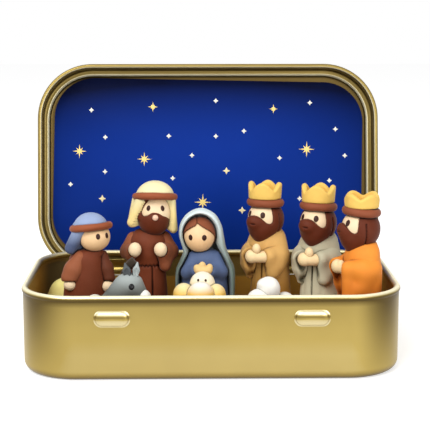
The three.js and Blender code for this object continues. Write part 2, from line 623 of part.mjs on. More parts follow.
// A king: the head looks further aside than the body and may be set higher, the robe stands a little to one side of the
// mantle, the sleeves may hang lower, and the crown may be lower.
function king(name, place, cloth, { look, rise, robe, fall, tall }) {
  const aside = (forward, z) => [-forward * Math.sin(-look * DEGREE), -forward * Math.cos(look * DEGREE), z + rise];
  const drawn = fall / 4;
  const sleeve = (side) =>
    join(
      capsule([side * 3.1, 1.7, 32.6], [side * 4.9, 0.2, 27.4], 2.8, 3.1),
      capsule([side * 4.9, 0.2, 27.4], [side * 4.5, -3.8, 23 - fall], 3.1, 2),
      capsule([side * 4.5, -1.2, 28.8], [side * 3.6, -4.9, 28.3], 2.8, 2.2),
      ...(fall > 3 ? [capsule([side * 4.4, 2, 28], [side * 4.4, 2, 22.8 - fall], 3.2, 3.1)] : []),
    );
  return figure(name, place, [
    ["robe", turned([[7.2, 0], [7.3, 1.5], [6.9, 12], [6.3, 21], [5.9, 26]], 0.9, [robe, 0.9, 0]), cloth],
    [
      "mantle",
      join(turned([[5.8, 26.3], [6.2, 28], [6.2, 29.5], [5.6, 32.6], [4.6, 35]], 0.92, [0, 0.9, 0]), sleeve(-1), sleeve(1)),
      cloth,
    ],
    ["head", ball(aside(0.8, 39.8), [5.2, 5.2, 5.5]), SKIN],
    ["hatband", rolledBand(aside(0, 44.8), 4.9, 1.2), TERRACOTTA],
    ["crown", crown(46 + rise, CROWN_RADIUS, CROWN_TURN, tall), CROWN_GOLD],
    [
      "beard",
      join(
        cut(ball(aside(-0.3, 39.4), [6, 6, 6.2]), ball(aside(5.2, 42), [5.3, 5.3, 3.2])),
        capsule(aside(4.5, 38.4), aside(2, 33.7), 2.9, 2.1),
        ball(aside(2.2, 36.4), [4.15, 4, 3.9], 8),
      ),
      HAIR,
    ],
    [
      "hands",
      join(
        ball([-1.3, -8.1 + drawn, 28.5], [1.9, 1.8, 2], 8),
        capsule([-0.6, -7.9 + drawn, 28.4], [2.8, -6.2, 28.2], 1.7, 1.8, 8),
        ball([0.3, -7.7 + drawn, 30.7 - 0.4 * fall], [1.4, 1.4, 1.8], 6),
      ),
      SKIN,
    ],
  ]);
}

// The whole set

const lid = new THREE.Group();
lid.position.set(0, HINGE_Y, HINGE_Z);
lid.rotation.x = -OPEN_ANGLE * DEGREE;
lid.add(nodeMesh("lid", lidShell(), GOLD), nodeMesh("sky_card", skyCard(), NIGHT_BLUE));

const nativityTin = new THREE.Group();
nativityTin.add(
  nodeMesh("tin_base", tinBase(), GOLD),
  lid,
  shepherd(),
  father(),
  mother(),
  baby(),
  donkey(),
  sheep(),
  king("king_tan", KING_TAN, TAN, { look: -13, rise: 0, robe: 1.4, fall: 0, tall: 1 }),
  king("king_grey", KING_GREY, GREY, { look: -13, rise: -0.5, robe: 0.9, fall: 0.8, tall: 1.03 }),
  king("king_orange", KING_ORANGE, ORANGE, { look: -9, rise: 0.5, robe: 0, fall: 5, tall: 0.84 }),
  strawBundle(),
);

export default nativityTin;
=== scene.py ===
import bpy
import numpy as np
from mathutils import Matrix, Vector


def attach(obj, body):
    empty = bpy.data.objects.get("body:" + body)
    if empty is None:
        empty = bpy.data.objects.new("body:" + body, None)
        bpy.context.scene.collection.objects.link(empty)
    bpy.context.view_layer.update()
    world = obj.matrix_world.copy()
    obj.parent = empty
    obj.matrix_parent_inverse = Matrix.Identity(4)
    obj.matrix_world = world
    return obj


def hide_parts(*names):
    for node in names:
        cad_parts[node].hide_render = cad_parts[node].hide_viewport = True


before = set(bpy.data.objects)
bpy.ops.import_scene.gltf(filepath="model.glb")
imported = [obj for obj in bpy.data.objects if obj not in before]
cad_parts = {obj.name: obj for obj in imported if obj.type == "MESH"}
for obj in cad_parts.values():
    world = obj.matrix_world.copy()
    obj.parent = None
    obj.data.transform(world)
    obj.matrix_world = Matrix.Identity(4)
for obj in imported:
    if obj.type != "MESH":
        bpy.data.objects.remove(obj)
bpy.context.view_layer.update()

# Tin base
# The base is one sheet of tinplate drawn into a shallow tray with round corners, and its edge is rolled
# into a bead. The gold is a thin lacquer over the tin. Sizes are in millimetres, and meshes in metres.
MM = 0.001
HALF_WIDTH = 56.8
HALF_DEPTH = 34.0
TIN_CORNER = 17.0
TIN_HEIGHT = 25.5
SHEET = 0.4
WALL_INSET = 0.35
WALL_INNER = WALL_INSET + SHEET
FOOT_FILLET = 3.0
RIM_BEAD = 1.0
RIM_MIDDLE = TIN_HEIGHT - RIM_BEAD
BEAD_STEPS = 28
CORNER_STEPS = 24


def round_rectangle(half_width, half_depth, corner, steps=CORNER_STEPS):
    """Outline of a rectangle with round corners, counter-clockwise: its points, and the way out there."""
    angle = (np.arange(4)[:, None] + np.linspace(0, 1, steps + 1)) * np.pi / 2
    out = np.stack([np.cos(angle), np.sin(angle)], -1)
    quarter = np.array([[1, 1], [-1, 1], [-1, -1], [1, -1]])
    middles = quarter * [half_width - corner, half_depth - corner]
    return (middles[:, None] + corner * out).reshape(-1, 2), out.reshape(-1, 2)


def arc(inset, height, radius, start, end, steps=10):
    """Part of a circle in a profile, as rows of inset and height. Angle 0 is its outermost point, 90 its
    highest."""
    angle = np.radians(np.linspace(start, end, steps + 1))
    return np.stack([inset - radius * np.cos(angle), height + radius * np.sin(angle)], -1)


def carry(profile, outline):
    """Rings of a pressed sheet: for each inset and height of a profile, the outline drawn in that far."""
    points, out = outline
    inset, height = np.asarray(profile, float).T
    plan = points[None] - inset[:, None, None] * out[None]
    level = np.broadcast_to(height[:, None, None], plan.shape[:2] + (1,))
    return np.concatenate([plan, level], -1)


def skin(rings, looped=False):
    """Closed skin over rings of points: four-sided faces join each ring to the next. A looped stack joins
    its last ring to its first, and any other closes each end on the middle of its end ring. A skin whose
    volume comes out negative is turned, so that its faces point outwards."""
    rows, count = rings.shape[:2]
    grid = np.arange(rows * count).reshape(rows, count)
    points = rings.reshape(-1, 3)
    stack = np.vstack([grid, grid[:1]]) if looped else grid
    low, high = stack[:-1], stack[1:]
    quads = np.stack([low, np.roll(low, -1, 1), np.roll(high, -1, 1), high], -1).reshape(-1, 4)
    tips = np.zeros((0, 3), int)
    if not looped:
        points = np.vstack([points, rings[0].mean(0), rings[-1].mean(0)])
        foot, head = grid[0], grid[-1]
        low_tip = np.stack([np.full(count, rows * count), np.roll(foot, -1), foot], -1)
        high_tip = np.stack([np.full(count, rows * count + 1), head, np.roll(head, -1)], -1)
        tips = np.vstack([low_tip, high_tip])
    corners = np.vstack([quads[:, [0, 1, 2]], quads[:, [0, 2, 3]], tips])
    a, b, c = (points[corners[:, k]] for k in range(3))
    if np.einsum("ij,ij->", a, np.cross(b, c)) < 0:
        quads, tips = quads[:, ::-1], tips[:, ::-1]
    return points, quads, tips


def into_scene(name, data):
    """A new object of the scene that holds a mesh, a lamp or a camera."""
    thing = bpy.data.objects.new(name, data)
    bpy.context.scene.collection.objects.link(thing)
    return thing


def mesh_of(name, skins):
    """One mesh of closed skins, in metres."""
    points, faces, before = [], [], 0
    for skin_points, quads, tips in skins:
        points.append(skin_points * MM)
        faces += (quads + before).tolist() + (tips + before).tolist()
        before += len(skin_points)
    mesh = bpy.data.meshes.new(name)
    mesh.from_pydata(np.vstack(points).tolist(), [], faces)
    return mesh


def show(name, skins, finish, body, *nodes, sharp=None, marks=None):
    """Puts closed skins into one object of the scene, which rides on a body and stands for the nodes
    named. Marks are values for each point, by name, that its material reads."""
    mesh = mesh_of(name, skins)
    mesh.polygons.foreach_set("use_smooth", np.ones(len(mesh.polygons), bool))
    if sharp:
        mesh.set_sharp_from_angle(angle=np.radians(sharp))
    for mark, values in (marks or {}).items():
        mesh.attributes.new(mark, "FLOAT", "POINT").data.foreach_set("value", np.ravel(values))
    mesh.materials.append(finish)
    piece = into_scene(name, mesh)
    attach(piece, body)
    if nodes:
        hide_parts(*nodes)
    return piece


def ink(red, green, blue):
    """A colour written as 0 to 255 on a screen, as the light that it stands for."""
    share = np.array([red, green, blue]) / 255
    light = np.where(share <= 0.04045, share / 12.92, ((share + 0.055) / 1.055) ** 2.4)
    return (*light.tolist(), 1.0)


class Shade:
    """One socket in a material's nodes. Arithmetic on it adds Math nodes, and make() any other node."""

    def __init__(self, tree, socket=None):
        self.tree = tree
        self.socket = socket

    def make(self, kind, settings=None, inputs=None, output=0):
        """Adds a node: its settings, then the values or links of its sockets. Returns one output."""
        node = self.tree.nodes.new(kind)
        for name, value in (settings or {}).items():
            setattr(node, name, value)
        for key, value in (inputs or {}).items():
            if isinstance(value, Shade):
                self.tree.links.new(value.socket, node.inputs[key])
            else:
                node.inputs[key].default_value = value
        return Shade(self.tree, node.outputs[output] if node.outputs else None)

    def math(self, operation, left, right):
        return self.make("ShaderNodeMath", {"operation": operation}, {0: left, 1: right})

    def __add__(self, other):
        return self.math("ADD", self, other)

    def __sub__(self, other):
        return self.math("SUBTRACT", self, other)

    def __rsub__(self, other):
        return self.math("SUBTRACT", other, self)

    def __mul__(self, other):
        return self.math("MULTIPLY", self, other)

    __radd__ = __add__
    __rmul__ = __mul__

    def noise(self, spot, size, detail=2.0):
        """Cloudy noise from 0 to 1, with patches of about this many millimetres."""
        sockets = {"Vector": spot, "Scale": 1 / (size * MM), "Detail": detail}
        return self.make("ShaderNodeTexNoise", {}, sockets)

    def along(self, spot, axis):
        """One coordinate of a place, in metres."""
        return self.make("ShaderNodeSeparateXYZ", {}, {0: spot}, axis)

    def blend(self, share, first, second):
        """Two colours, mixed by a share from 0 to 1."""
        return self.make("ShaderNodeMix", {"data_type": "RGBA"}, {0: share, 6: first, 7: second}, 2)

    def openness(self, reach, samples=10):
        """1 in the open and 0 deep in a fold, judged within a reach in millimetres."""
        sockets = {"Distance": reach * MM}
        return self.make("ShaderNodeAmbientOcclusion", {"samples": samples}, sockets, "AO")

    def clamped(self):
        return self.make("ShaderNodeClamp", {}, {0: self})

    def mark(self, name):
        """A value that the mesh holds for each of its points, or 0 where it holds none."""
        return self.make("ShaderNodeAttribute", {"attribute_name": name}, {}, "Fac")


def new_finish(name):
    """An empty material, with the start of its nodes and the place on the piece that they read."""
    material = bpy.data.materials.new(name + "_finish")
    material["slot"] = name
    material.use_nodes = True
    material.node_tree.nodes.clear()
    start = Shade(material.node_tree)
    return material, start, start.make("ShaderNodeTexCoord", output="Object")


def close_finish(start, relief, strength, depth, **sockets):
    """Ends a material: relief is the height of its bumps, and the rest are the shader's sockets."""
    raised = {"Strength": strength, "Distance": depth * MM, "Height": relief}
    bump = start.make("ShaderNodeBump", {}, raised)
    named = {key.replace("_", " "): value for key, value in sockets.items()}
    surface = start.make("ShaderNodeBsdfPrincipled", {}, {**named, "Normal": bump})
    start.make("ShaderNodeOutputMaterial", {}, {"Surface": surface})


def lacquered_gold():
    """Gold lacquer on tinplate: satin metal, a little uneven in tone, with painted shade in its folds. A
    painted light mark runs from 1, a pale painted highlight, to -1, dark painted shade. The inside of the
    tray is ochre."""
    material, start, spot = new_finish("gold_lacquer")
    cloud = start.noise(spot, 16, 2.0)
    fine = start.noise(spot, 0.35, 2.0)
    painted_light = start.mark("painted_light")
    lining = start.mark("lining")
    tone = start.blend(cloud, ink(160, 138, 74), ink(174, 152, 85))
    tone = start.blend(lining, tone, ink(184, 134, 44))
    # Painted shade where the mark is below 0 and in the folds, then a pale painted highlight where it is
    # above 0.
    tone = start.blend((painted_light * -1).clamped(), tone, ink(88, 72, 35))
    tone = start.blend((1 - start.openness(3.0)).clamped(), tone, ink(84, 66, 30))
    tone = start.blend(painted_light.clamped(), tone, ink(252, 244, 208))
    rough = 0.33 + cloud * 0.07 + fine * 0.04 + lining * 0.2
    metal = 0.86 - painted_light.clamped() * 0.4 - lining * 0.66
    close_finish(start, fine, 0.1, 0.02, Base_Color=tone, Metallic=metal, Roughness=rough)
    return material


gold = lacquered_gold()
rim_outline = round_rectangle(HALF_WIDTH, HALF_DEPTH, TIN_CORNER)
fillet_middle = WALL_INSET + FOOT_FILLET
bead_start = -np.degrees(np.arccos((RIM_BEAD - WALL_INSET) / RIM_BEAD))
bead_end = 360 - np.degrees(np.arccos((RIM_BEAD - WALL_INNER) / RIM_BEAD))
wall_levels = [8.0, 16.0, 22.0]
foot_turn = arc(fillet_middle, FOOT_FILLET, FOOT_FILLET, -90, 0)
outer_wall = [(WALL_INSET, height) for height in wall_levels]
bead = arc(RIM_BEAD, RIM_MIDDLE, RIM_BEAD, bead_start, bead_end, BEAD_STEPS)
inner_wall = [(WALL_INNER, height) for height in reversed(wall_levels)]
inner_turn = arc(fillet_middle, FOOT_FILLET, FOOT_FILLET - SHEET, 0, -90)
foot_rows, bead_rows, inner_rows = len(foot_turn), len(bead), len(inner_wall) + len(inner_turn)
tray_rings = carry(np.vstack([foot_turn, outer_wall, bead, inner_wall, inner_turn]), rim_outline)

# Painted light over the tray: a pale painted highlight over the bead, and painted shade in the line under
# it, in the corners, at the foot and high on the wall.
bead_angle = np.linspace(bead_start, bead_end, bead_rows)
bead_painted_light = np.interp(bead_angle, [-20, 4, 22, 50, 85, 125, 175], [-1.0, -1.0, 0.35, 1.05, 1.05, 0.75, 0])
foot_painted_light = np.linspace(-0.15, 0.06, foot_rows)
row_painted_light = np.concatenate([foot_painted_light, [0.06, -0.05, -0.25], bead_painted_light, np.full(inner_rows, -0.1)])
row_counts = [foot_rows, 1, 1, 1, bead_rows, inner_rows]
corner_shade_share = np.repeat([0.2, 0.55, 1.0, 1.1, 0.15, 1.6], row_counts)
corner_painted_shade = -0.68 * np.sin(np.linspace(0, np.pi, CORNER_STEPS + 1)) ** 2
tray_painted_light = row_painted_light[:, None] + corner_shade_share[:, None] * np.tile(corner_painted_shade, 4)
tray_lining = np.zeros(tray_rings.shape[:2])
tray_lining[-inner_rows:] = 1.0
tray_marks = {"painted_light": np.append(tray_painted_light, [0, 0]), "lining": np.append(tray_lining, [0, 1])}
tray = show("tin_tray", [skin(tray_rings)], gold, "tin", "tin_base", sharp=42, marks=tray_marks)

# Hinge windows and catches
# The back wall is slit above and below each hinge, and the strip between is pressed out as a bar between
# two ears. On the front wall two long bumps are pressed out, and the lid's hem snaps over them.
HINGE_Y = 35.0
HINGE_Z = 18.2
HINGE_SPREAD = 29.0
HINGE_BAR = 0.9
WINDOW_HALF_LENGTH = 5.8
WINDOW_TOP = 22.1
WINDOW_FOOT = 16.7
CATCH_LENGTH = 10.4
CATCH_HEIGHT = 5.0
CATCH_PROUD = 0.9
CATCH_MIDDLE = TIN_HEIGHT - 6.7


def box(low, high):
    """Closed box between two corners: its outline at the lower level and at the upper one."""
    (x0, y0, z0), (x1, y1, z1) = low, high
    outline = [(x0, y0), (x1, y0), (x1, y1), (x0, y1)]
    return np.array([[(x, y, z) for x, y in outline] for z in (z0, z1)], float)


def cut_through(piece, boxes):
    """Cuts boxes out of a piece, and keeps the cut mesh with its material and smooth faces."""
    cutters = [into_scene("window_cutter", mesh_of("window_cutter", [skin(rings)])) for rings in boxes]
    for cutter in cutters:
        modifier = piece.modifiers.new("window", "BOOLEAN")
        modifier.object = cutter
        modifier.solver = "EXACT"
    bpy.context.view_layer.update()
    evaluated = piece.evaluated_get(bpy.context.evaluated_depsgraph_get())
    whole = piece.data
    piece.data = bpy.data.meshes.new_from_object(evaluated)
    piece.modifiers.clear()
    bpy.data.meshes.remove(whole)
    for cutter in cutters:
        mesh = cutter.data
        bpy.data.objects.remove(cutter)
        bpy.data.meshes.remove(mesh)


def smooth_line(points, steps=8):
    """Smooth line through points: each stretch is a cubic whose end slopes are half the step between
    neighbours."""
    points = np.asarray(points, float)
    padded = np.vstack([2 * points[0] - points[1], points, 2 * points[-1] - points[-2]])
    t = np.linspace(0, 1, steps, endpoint=False)[:, None]
    p0, p1, p2, p3 = (padded[k:len(padded) - 3 + k, None] for k in range(4))
    run = p1 + 0.5 * t * (p2 - p0 + t * (2 * p0 - 5 * p1 + 4 * p2 - p3 + t * (3 * (p1 - p2) + p3 - p0)))
    return np.vstack([run.reshape(-1, points.shape[1]), points[-1]])


def full_turn(count):
    """Angles evenly spaced round a full turn."""
    return np.linspace(0, 2 * np.pi, count, endpoint=False)


def rail(stations, steps=6, around=20):
    """Round rail through stations of place and radius: circles that stand square to the smooth line."""
    line = smooth_line(stations, steps)
    along = np.gradient(line[:, :3], axis=0)
    along /= np.linalg.norm(along, axis=1)[:, None]
    side = np.cross(along, [0.0, 0.0, 1.0])
    side /= np.linalg.norm(side, axis=1)[:, None]
    up = np.cross(side, along)
    angle = full_turn(around)[None, :, None]
    ring = np.cos(angle) * side[:, None] + np.sin(angle) * up[:, None]
    return line[:, None, :3] + line[:, None, 3:] * ring


wall_back = HALF_DEPTH - WALL_INSET
hinge_places = (-HINGE_SPREAD, HINGE_SPREAD)
window_low = np.array([-WINDOW_HALF_LENGTH, wall_back - 1.2, WINDOW_FOOT])
window_high = np.array([WINDOW_HALF_LENGTH, wall_back + 0.5, WINDOW_TOP])
cut_through(tray, [box(window_low, window_high) + [x, 0, 0] for x in hinge_places])
ear = WINDOW_HALF_LENGTH + 0.5
ear_y = wall_back - SHEET / 2
half_bar = [(2.5, HINGE_Y, HINGE_BAR), (ear - 0.7, HINGE_Y, 0.85), (ear - 0.1, HINGE_Y - 0.25, 0.7)]
half_bar += [(ear, ear_y + 0.5, 0.62), (ear, ear_y, 0.62)]
path = [(-reach, y, HINGE_Z, radius) for reach, y, radius in reversed(half_bar)]
path += [(reach, y, HINGE_Z, radius) for reach, y, radius in half_bar]
bar = rail(path)
show("hinge_bars", [skin(bar + [x, 0, 0]) for x in hinge_places], gold, "tin", sharp=50)

bump_outline = round_rectangle(CATCH_LENGTH / 2, CATCH_HEIGHT / 2, CATCH_HEIGHT / 2 - 0.01)
swell = np.radians(np.linspace(0, 88, 12))
bump_profile = np.vstack([
    [(-0.15, -0.3), (-0.15, 0.0), (0.15, 0.06)],
    np.stack([0.3 + 1.75 * (1 - np.cos(swell)), 0.1 + (CATCH_PROUD - 0.1) * np.sin(swell)], -1),
])
flat = carry(bump_profile, bump_outline)
# Painted reflection on each bump: dark at its top edge, a pale painted highlight high up, a dark band
# just above the middle, and paler below.
glint_height = [-2.65, -2.2, -1.2, -0.5, 0.5, 0.8, 1.2, 1.8, 2.3, 2.65]
painted_glint = np.interp(flat[..., 1], glint_height, [0.1, 0.4, 0.35, 0.2, -0.7, -0.4, 0.6, 0.95, 0.35, -0.5])
right, up, proud = np.moveaxis(flat, -1, 0)
bumps = [skin(np.stack([x + right, -wall_back - proud, CATCH_MIDDLE + up], -1)) for x in hinge_places]
bump_marks = {"painted_light": np.tile(np.append(painted_glint, [0, -0.1]), len(bumps))}
show("catch_bumps", bumps, gold, "tin", sharp=60, marks=bump_marks)

# Lid
# The lid is pressed from a second sheet: a raised panel, a ledge, and a skirt whose hem is rolled
# outwards. Two knuckles at its back edge curl round the bars, and a tongue in each stops the lid when it
# stands a little past upright.
LID_GROWTH = 0.7
LID_SKIRT = 6.4
HEM_LIFT = 1.6
HEM_BEAD = 0.7
HEM_STEPS = 24
SHOULDER = 0.8
LEDGE = 0.7
PANEL_RUN = 1.1
PANEL_RISE = 1.8
OPEN_ANGLE = 101.0
KNUCKLE_HALF_LENGTH = 5.5
KNUCKLE_BORE = 1.2
KNUCKLE_RADIUS = 1.7
KNUCKLE_EDGE = 0.1
KNUCKLE_ROUND = 0.12
LEDGE_LEVEL = HEM_LIFT + LID_SKIRT
HEM_LEVEL = HEM_LIFT + HEM_BEAD
HEM_INSET = SHEET - HEM_BEAD


def turned_about(axis, degrees):
    """Matrix that turns places about the X, Y or Z axis, which is numbered 0, 1 or 2."""
    first, second = (axis + 1) % 3, (axis + 2) % 3
    angle = np.radians(degrees)
    matrix = np.eye(3)
    matrix[[first, second], [first, second]] = np.cos(angle)
    matrix[[second, first], [first, second]] = np.sin(angle), -np.sin(angle)
    return matrix


def opened(rings):
    """Swings what is modelled shut, about the hinge axis, back to where the open lid stands."""
    return rings @ turned_about(0, -OPEN_ANGLE).T + [0, HINGE_Y, HINGE_Z]


def lid_side(drop):
    """Profile of one face of the sheet, from the panel's edge down to the skirt. The inner face is drawn
    in by drop."""
    ledge_end = drop + SHOULDER + LEDGE
    level = LEDGE_LEVEL - drop
    riser = [
        (ledge_end + PANEL_RUN + 0.5, level + PANEL_RISE),
        (ledge_end + PANEL_RUN, level + PANEL_RISE - 0.08),
        (ledge_end + 0.62 * PANEL_RUN, level + 0.8 * PANEL_RISE),
        (ledge_end + 0.3 * PANEL_RUN, level + 0.3 * PANEL_RISE),
        (ledge_end, level + 0.06),
        (ledge_end - 0.35, level),
    ]
    return np.vstack([smooth_line(riser, 4), arc(drop + SHOULDER, level - SHOULDER, SHOULDER, 90, 0, 8)])


def hinge_plate(half_length, start, end, thickness, degrees):
    """Thin plate between two distances from the hinge axis, turned about it: a strip along X, its edges
    round."""
    outline = round_rectangle(half_length, (end - start) / 2, 0.3, 6)
    inset = np.array([0.1, 0.0, 0.0, 0.1])
    flat = carry(np.stack([inset, thickness * np.array([-0.5, -0.25, 0.25, 0.5])], -1), outline)
    return (flat - [0, (start + end) / 2, 0]) @ turned_about(0, degrees).T


lid_size = np.array([HALF_WIDTH, HALF_DEPTH, TIN_CORNER]) + LID_GROWTH
lid_points, lid_out = round_rectangle(*lid_size)
lid_outline = (lid_points - [0, HINGE_Y], lid_out)
hem_start = 180 - np.degrees(np.arccos(-HEM_INSET / HEM_BEAD))
lid_profile = np.vstack([
    lid_side(0.0),
    arc(HEM_INSET, HEM_LEVEL, HEM_BEAD, hem_start, -180, HEM_STEPS),
    lid_side(SHEET)[::-1],
])
shell = opened(carry(lid_profile, lid_outline))

# Painted light over the lid: pale painted highlights over the hem and inside along the ledge, painted
# shade in the folds between and a little over the outside.
side_rows = len(lid_side(0.0))
hem_angle = np.linspace(hem_start, -180, HEM_STEPS + 1)
hem_wear = 1.15 * np.exp(-((hem_angle + 132) / 22) ** 2) - 0.45
bends = [0, 8, 11, 16, 19, 23, side_rows - 1]
inner_painted_light = np.interp(np.arange(side_rows), bends, [-1, -1, 0.9, 0.9, -0.45, -0.5, -1])
lid_painted_light = np.concatenate([np.full(side_rows, -0.1), hem_wear, inner_painted_light[::-1]])
lid_painted_light = np.append(np.repeat(lid_painted_light, len(lid_points)), [0, 0])
show("lid_shell", [skin(shell)], gold, "lid", "lid", sharp=42, marks={"painted_light": lid_painted_light})

window_inward = HINGE_Y - (HALF_DEPTH - WALL_INNER)
window_up = WINDOW_TOP - HINGE_Z
tongue_reach = np.hypot(window_inward, window_up)
tongue_rise = np.arcsin((SHEET / 2 + 0.3) / tongue_reach)
tongue_turn = OPEN_ANGLE - np.degrees(np.arctan2(window_up, window_inward) - tongue_rise)
left_end = np.array([
    (KNUCKLE_EDGE - KNUCKLE_HALF_LENGTH, KNUCKLE_BORE),
    (-KNUCKLE_HALF_LENGTH, KNUCKLE_BORE + KNUCKLE_EDGE),
    (-KNUCKLE_HALF_LENGTH, KNUCKLE_RADIUS - KNUCKLE_ROUND),
    (KNUCKLE_ROUND - KNUCKLE_HALF_LENGTH, KNUCKLE_RADIUS),
])
along, radius = np.vstack([left_end, left_end[::-1] * [-1, 1]]).T[..., None]
angle = full_turn(48)
curl = np.stack([along + 0 * angle, radius * np.cos(angle), radius * np.sin(angle)], -1)
tab = hinge_plate(KNUCKLE_HALF_LENGTH, 1.45, HEM_LEVEL, 2 * SHEET, -90)
tongue = hinge_plate(KNUCKLE_HALF_LENGTH - SHEET, 1.4, tongue_reach + 0.8, SHEET, tongue_turn)
folded = ((curl, True), (tab, False), (tongue, False))
knuckles = [skin(opened(rings + [x, 0, 0]), looped) for x in hinge_places for rings, looped in folded]
show("hinge_knuckles", knuckles, gold, "lid", sharp=45)

# Night-sky card
# A printed card lines the lid: deep blue, darker towards its top corners, and glued a little askew.
# The stars are printed in gold and cream, as thin raised ink.
CARD_THICKNESS = 0.5
CARD_FACE = 8.6
CARD_TURN = 1.1
CARD_DARK_FROM = 54.0
CARD_DARK_RUN = 26.0
CARD_DARK_ASIDE = 52.0
CARD_DRAW = SHOULDER + LEDGE + PANEL_RUN + SHEET + 0.8 - LID_GROWTH


def on_card(right, up, lift):
    """Places on the open lid's card: right of its middle, up from the hinge edge, lifted off its face."""
    straight = np.stack(np.broadcast_arrays(right, HALF_DEPTH - up, CARD_FACE - lift), -1)
    return opened(straight @ turned_about(2, CARD_TURN).T - [0, HINGE_Y, 0])


def night_print():
    """Printed card: royal blue low in the middle, navy towards the upper corners, with a paper tooth."""
    material, start, spot = new_finish("night_card")
    aside = start.along(spot, "X") * (1 / CARD_DARK_ASIDE / MM)
    high = ((start.along(spot, "Z") - CARD_DARK_FROM * MM) * (1 / CARD_DARK_RUN / MM)).clamped()
    corner = (high * high * 0.95 + aside * aside * 0.3).clamped()
    tooth = start.noise(spot, 0.22, 3.0)
    cloud = start.noise(spot, 9, 3.0)
    tone = start.blend(corner, ink(7, 48, 142), ink(0, 4, 30))
    tone = start.blend(cloud * 0.15, tone, ink(8, 34, 106))
    rough = 0.6 + tooth * 0.15
    close_finish(start, tooth, 0.15, 0.03, Base_Color=tone, Roughness=rough, Specular_IOR_Level=0.08)
    return material


card_outline = round_rectangle(HALF_WIDTH - CARD_DRAW, HALF_DEPTH - CARD_DRAW, TIN_CORNER - CARD_DRAW)
card_edge = [(0.12, 0.0), (0.0, 0.1), (0.0, CARD_THICKNESS - 0.1), (0.12, CARD_THICKNESS)]
card_flat = carry(card_edge, card_outline)
card_rings = on_card(card_flat[..., 0], HALF_DEPTH - card_flat[..., 1], -card_flat[..., 2])
show("night_sky_card", [skin(card_rings)], night_print(), "lid", "sky_card", sharp=40)

# Each star is a place right and up, its reach, its waist and, where it has them, its short points.
SMALL_STAR = (0.9, 0.56, 0.0)
SMALL_STARS = [
    (-41.0, 53.7), (2.3, 57.7), (35.2, 57.6), (-36.0, 44.3), (-13.9, 45.1), (2.5, 45.3),
    (12.3, 47.3), (44.3, 48.5), (-5.7, 38.5), (24.9, 38.1), (47.7, 39.3), (-35.9, 32.3),
    (-47.8, 27.7), (-12.3, 30.4), (42.4, 30.5), (32.1, 24.0),
]
CREAM_STARS = [
    (6.4, 33.3, 1.3, 0.46, 0.0), (-36.7, 22.9, 1.3, 0.46, 0.0), (12.1, 19.6, 1.35, 0.46, 0.0),
]
GOLD_STARS = [
    (-19.6, 55.2, 1.75, 0.36, 0.55), (22.5, 55.2, 1.6, 0.36, 0.55), (-44.9, 39.3, 2.5, 0.28, 0.68),
    (-22.3, 36.9, 2.6, 0.28, 0.7), (34.3, 41.3, 2.9, 0.26, 0.64), (-1.7, 22.2, 3.1, 0.26, 0.66),
]


def star_print(right, up, reach, waist, short):
    """Rings of one printed star: straight sides run from each point in to a waist and out again, with
    four long points and, where it has them, four short ones between."""
    ends = [1.0, waist] * 4 if short == 0 else [1.0, waist, short, waist] * 4
    angle = full_turn(len(ends))
    radius = reach * np.array(ends)
    shrink = np.array([1.0, 1.0, 0.96])[:, None]
    lift = np.array([-0.05, 0.03, 0.05])[:, None] + 0 * angle
    return on_card(right + shrink * radius * np.sin(angle), up + shrink * radius * np.cos(angle), lift)


def star_ink(light, dark):
    """Printed ink on the card: matt, a little mottled."""
    material, start, spot = new_finish("night_card")
    mottle = start.noise(spot, 0.5, 2.0)
    tone = start.blend(mottle, ink(*dark), ink(*light))
    rough = 0.5 + mottle * 0.2
    close_finish(start, mottle, 0.1, 0.02, Base_Color=tone, Roughness=rough, Specular_IOR_Level=0.1)
    return material


STAR_PRINTS = (
    ("small_stars", [place + SMALL_STAR for place in SMALL_STARS], (244, 242, 232), (232, 228, 212)),
    ("cream_stars", CREAM_STARS, (250, 236, 192), (240, 220, 160)),
    ("gold_stars", GOLD_STARS, (255, 232, 150), (248, 212, 120)),
)
for name, stars, light, dark in STAR_PRINTS:
    show(name, [skin(star_print(*star)) for star in stars], star_ink(light, dark), "lid", sharp=50)

# Shepherd
# Every figure is pressed together from separate lumps of coloured clay, smoothed by hand, with a groove
# at each join. This one wears a brown robe and a blue headcloth under a rolled band, and looks aside.
FLOOR_LEVEL = 0.5


def ball(centre, radii):
    """Ellipsoid of clay: a field that is negative inside and grows about as the distance does outside."""
    centre = np.array(centre, float)
    radii = np.ones(3) * radii

    def field(p):
        q = (p - centre) / radii
        reach = np.linalg.norm(q, axis=-1)
        return reach * (reach - 1) / np.maximum(np.linalg.norm(q / radii, axis=-1), 1e-6)

    return field


def rod(start, end, first, last):
    """Tapered rod of clay with round ends: distance to its line, less a radius that changes along it."""
    start = np.array(start, float)
    along = np.array(end, float) - start

    def field(p):
        share = np.clip((p - start) @ along / (along @ along), 0, 1)
        radius = first + share * (last - first)
        return np.linalg.norm(p - start - share[..., None] * along, axis=-1) - radius

    return field


def side_of(point, normal):
    """Half of space: negative on the side that the normal points away from."""
    normal = np.array(normal, float) / np.linalg.norm(normal)
    return lambda p: (p - np.array(point, float)) @ normal


def soft_least(first, second, soft):
    """The lesser of two values, rounded off below it where they differ by less than soft."""
    share = np.clip(0.5 + 0.5 * (second - first) / soft, 0, 1)
    return second * (1 - share) + first * share - soft * share * (1 - share)


def melt(soft, *fields):
    """Lumps smoothed into each other: the least field, rounded where two are nearly alike."""

    def field(p):
        whole = fields[0](p)
        for other in fields[1:]:
            whole = soft_least(whole, other(p), soft)
        return whole

    return field


def carved(soft, body, *tools):
    """A lump with others scooped out of it, and the edges of the scoops rounded."""
    scooped = melt(soft, lambda p: -body(p), *tools)
    return lambda p: -scooped(p)


def scored(body, *lines):
    """A lump with lines pressed into it: each is a depth, a width, and the distance from the line."""
    return lambda p: body(p) + sum(depth * np.exp(-(gap(p) / width) ** 2) for depth, width, gap in lines)


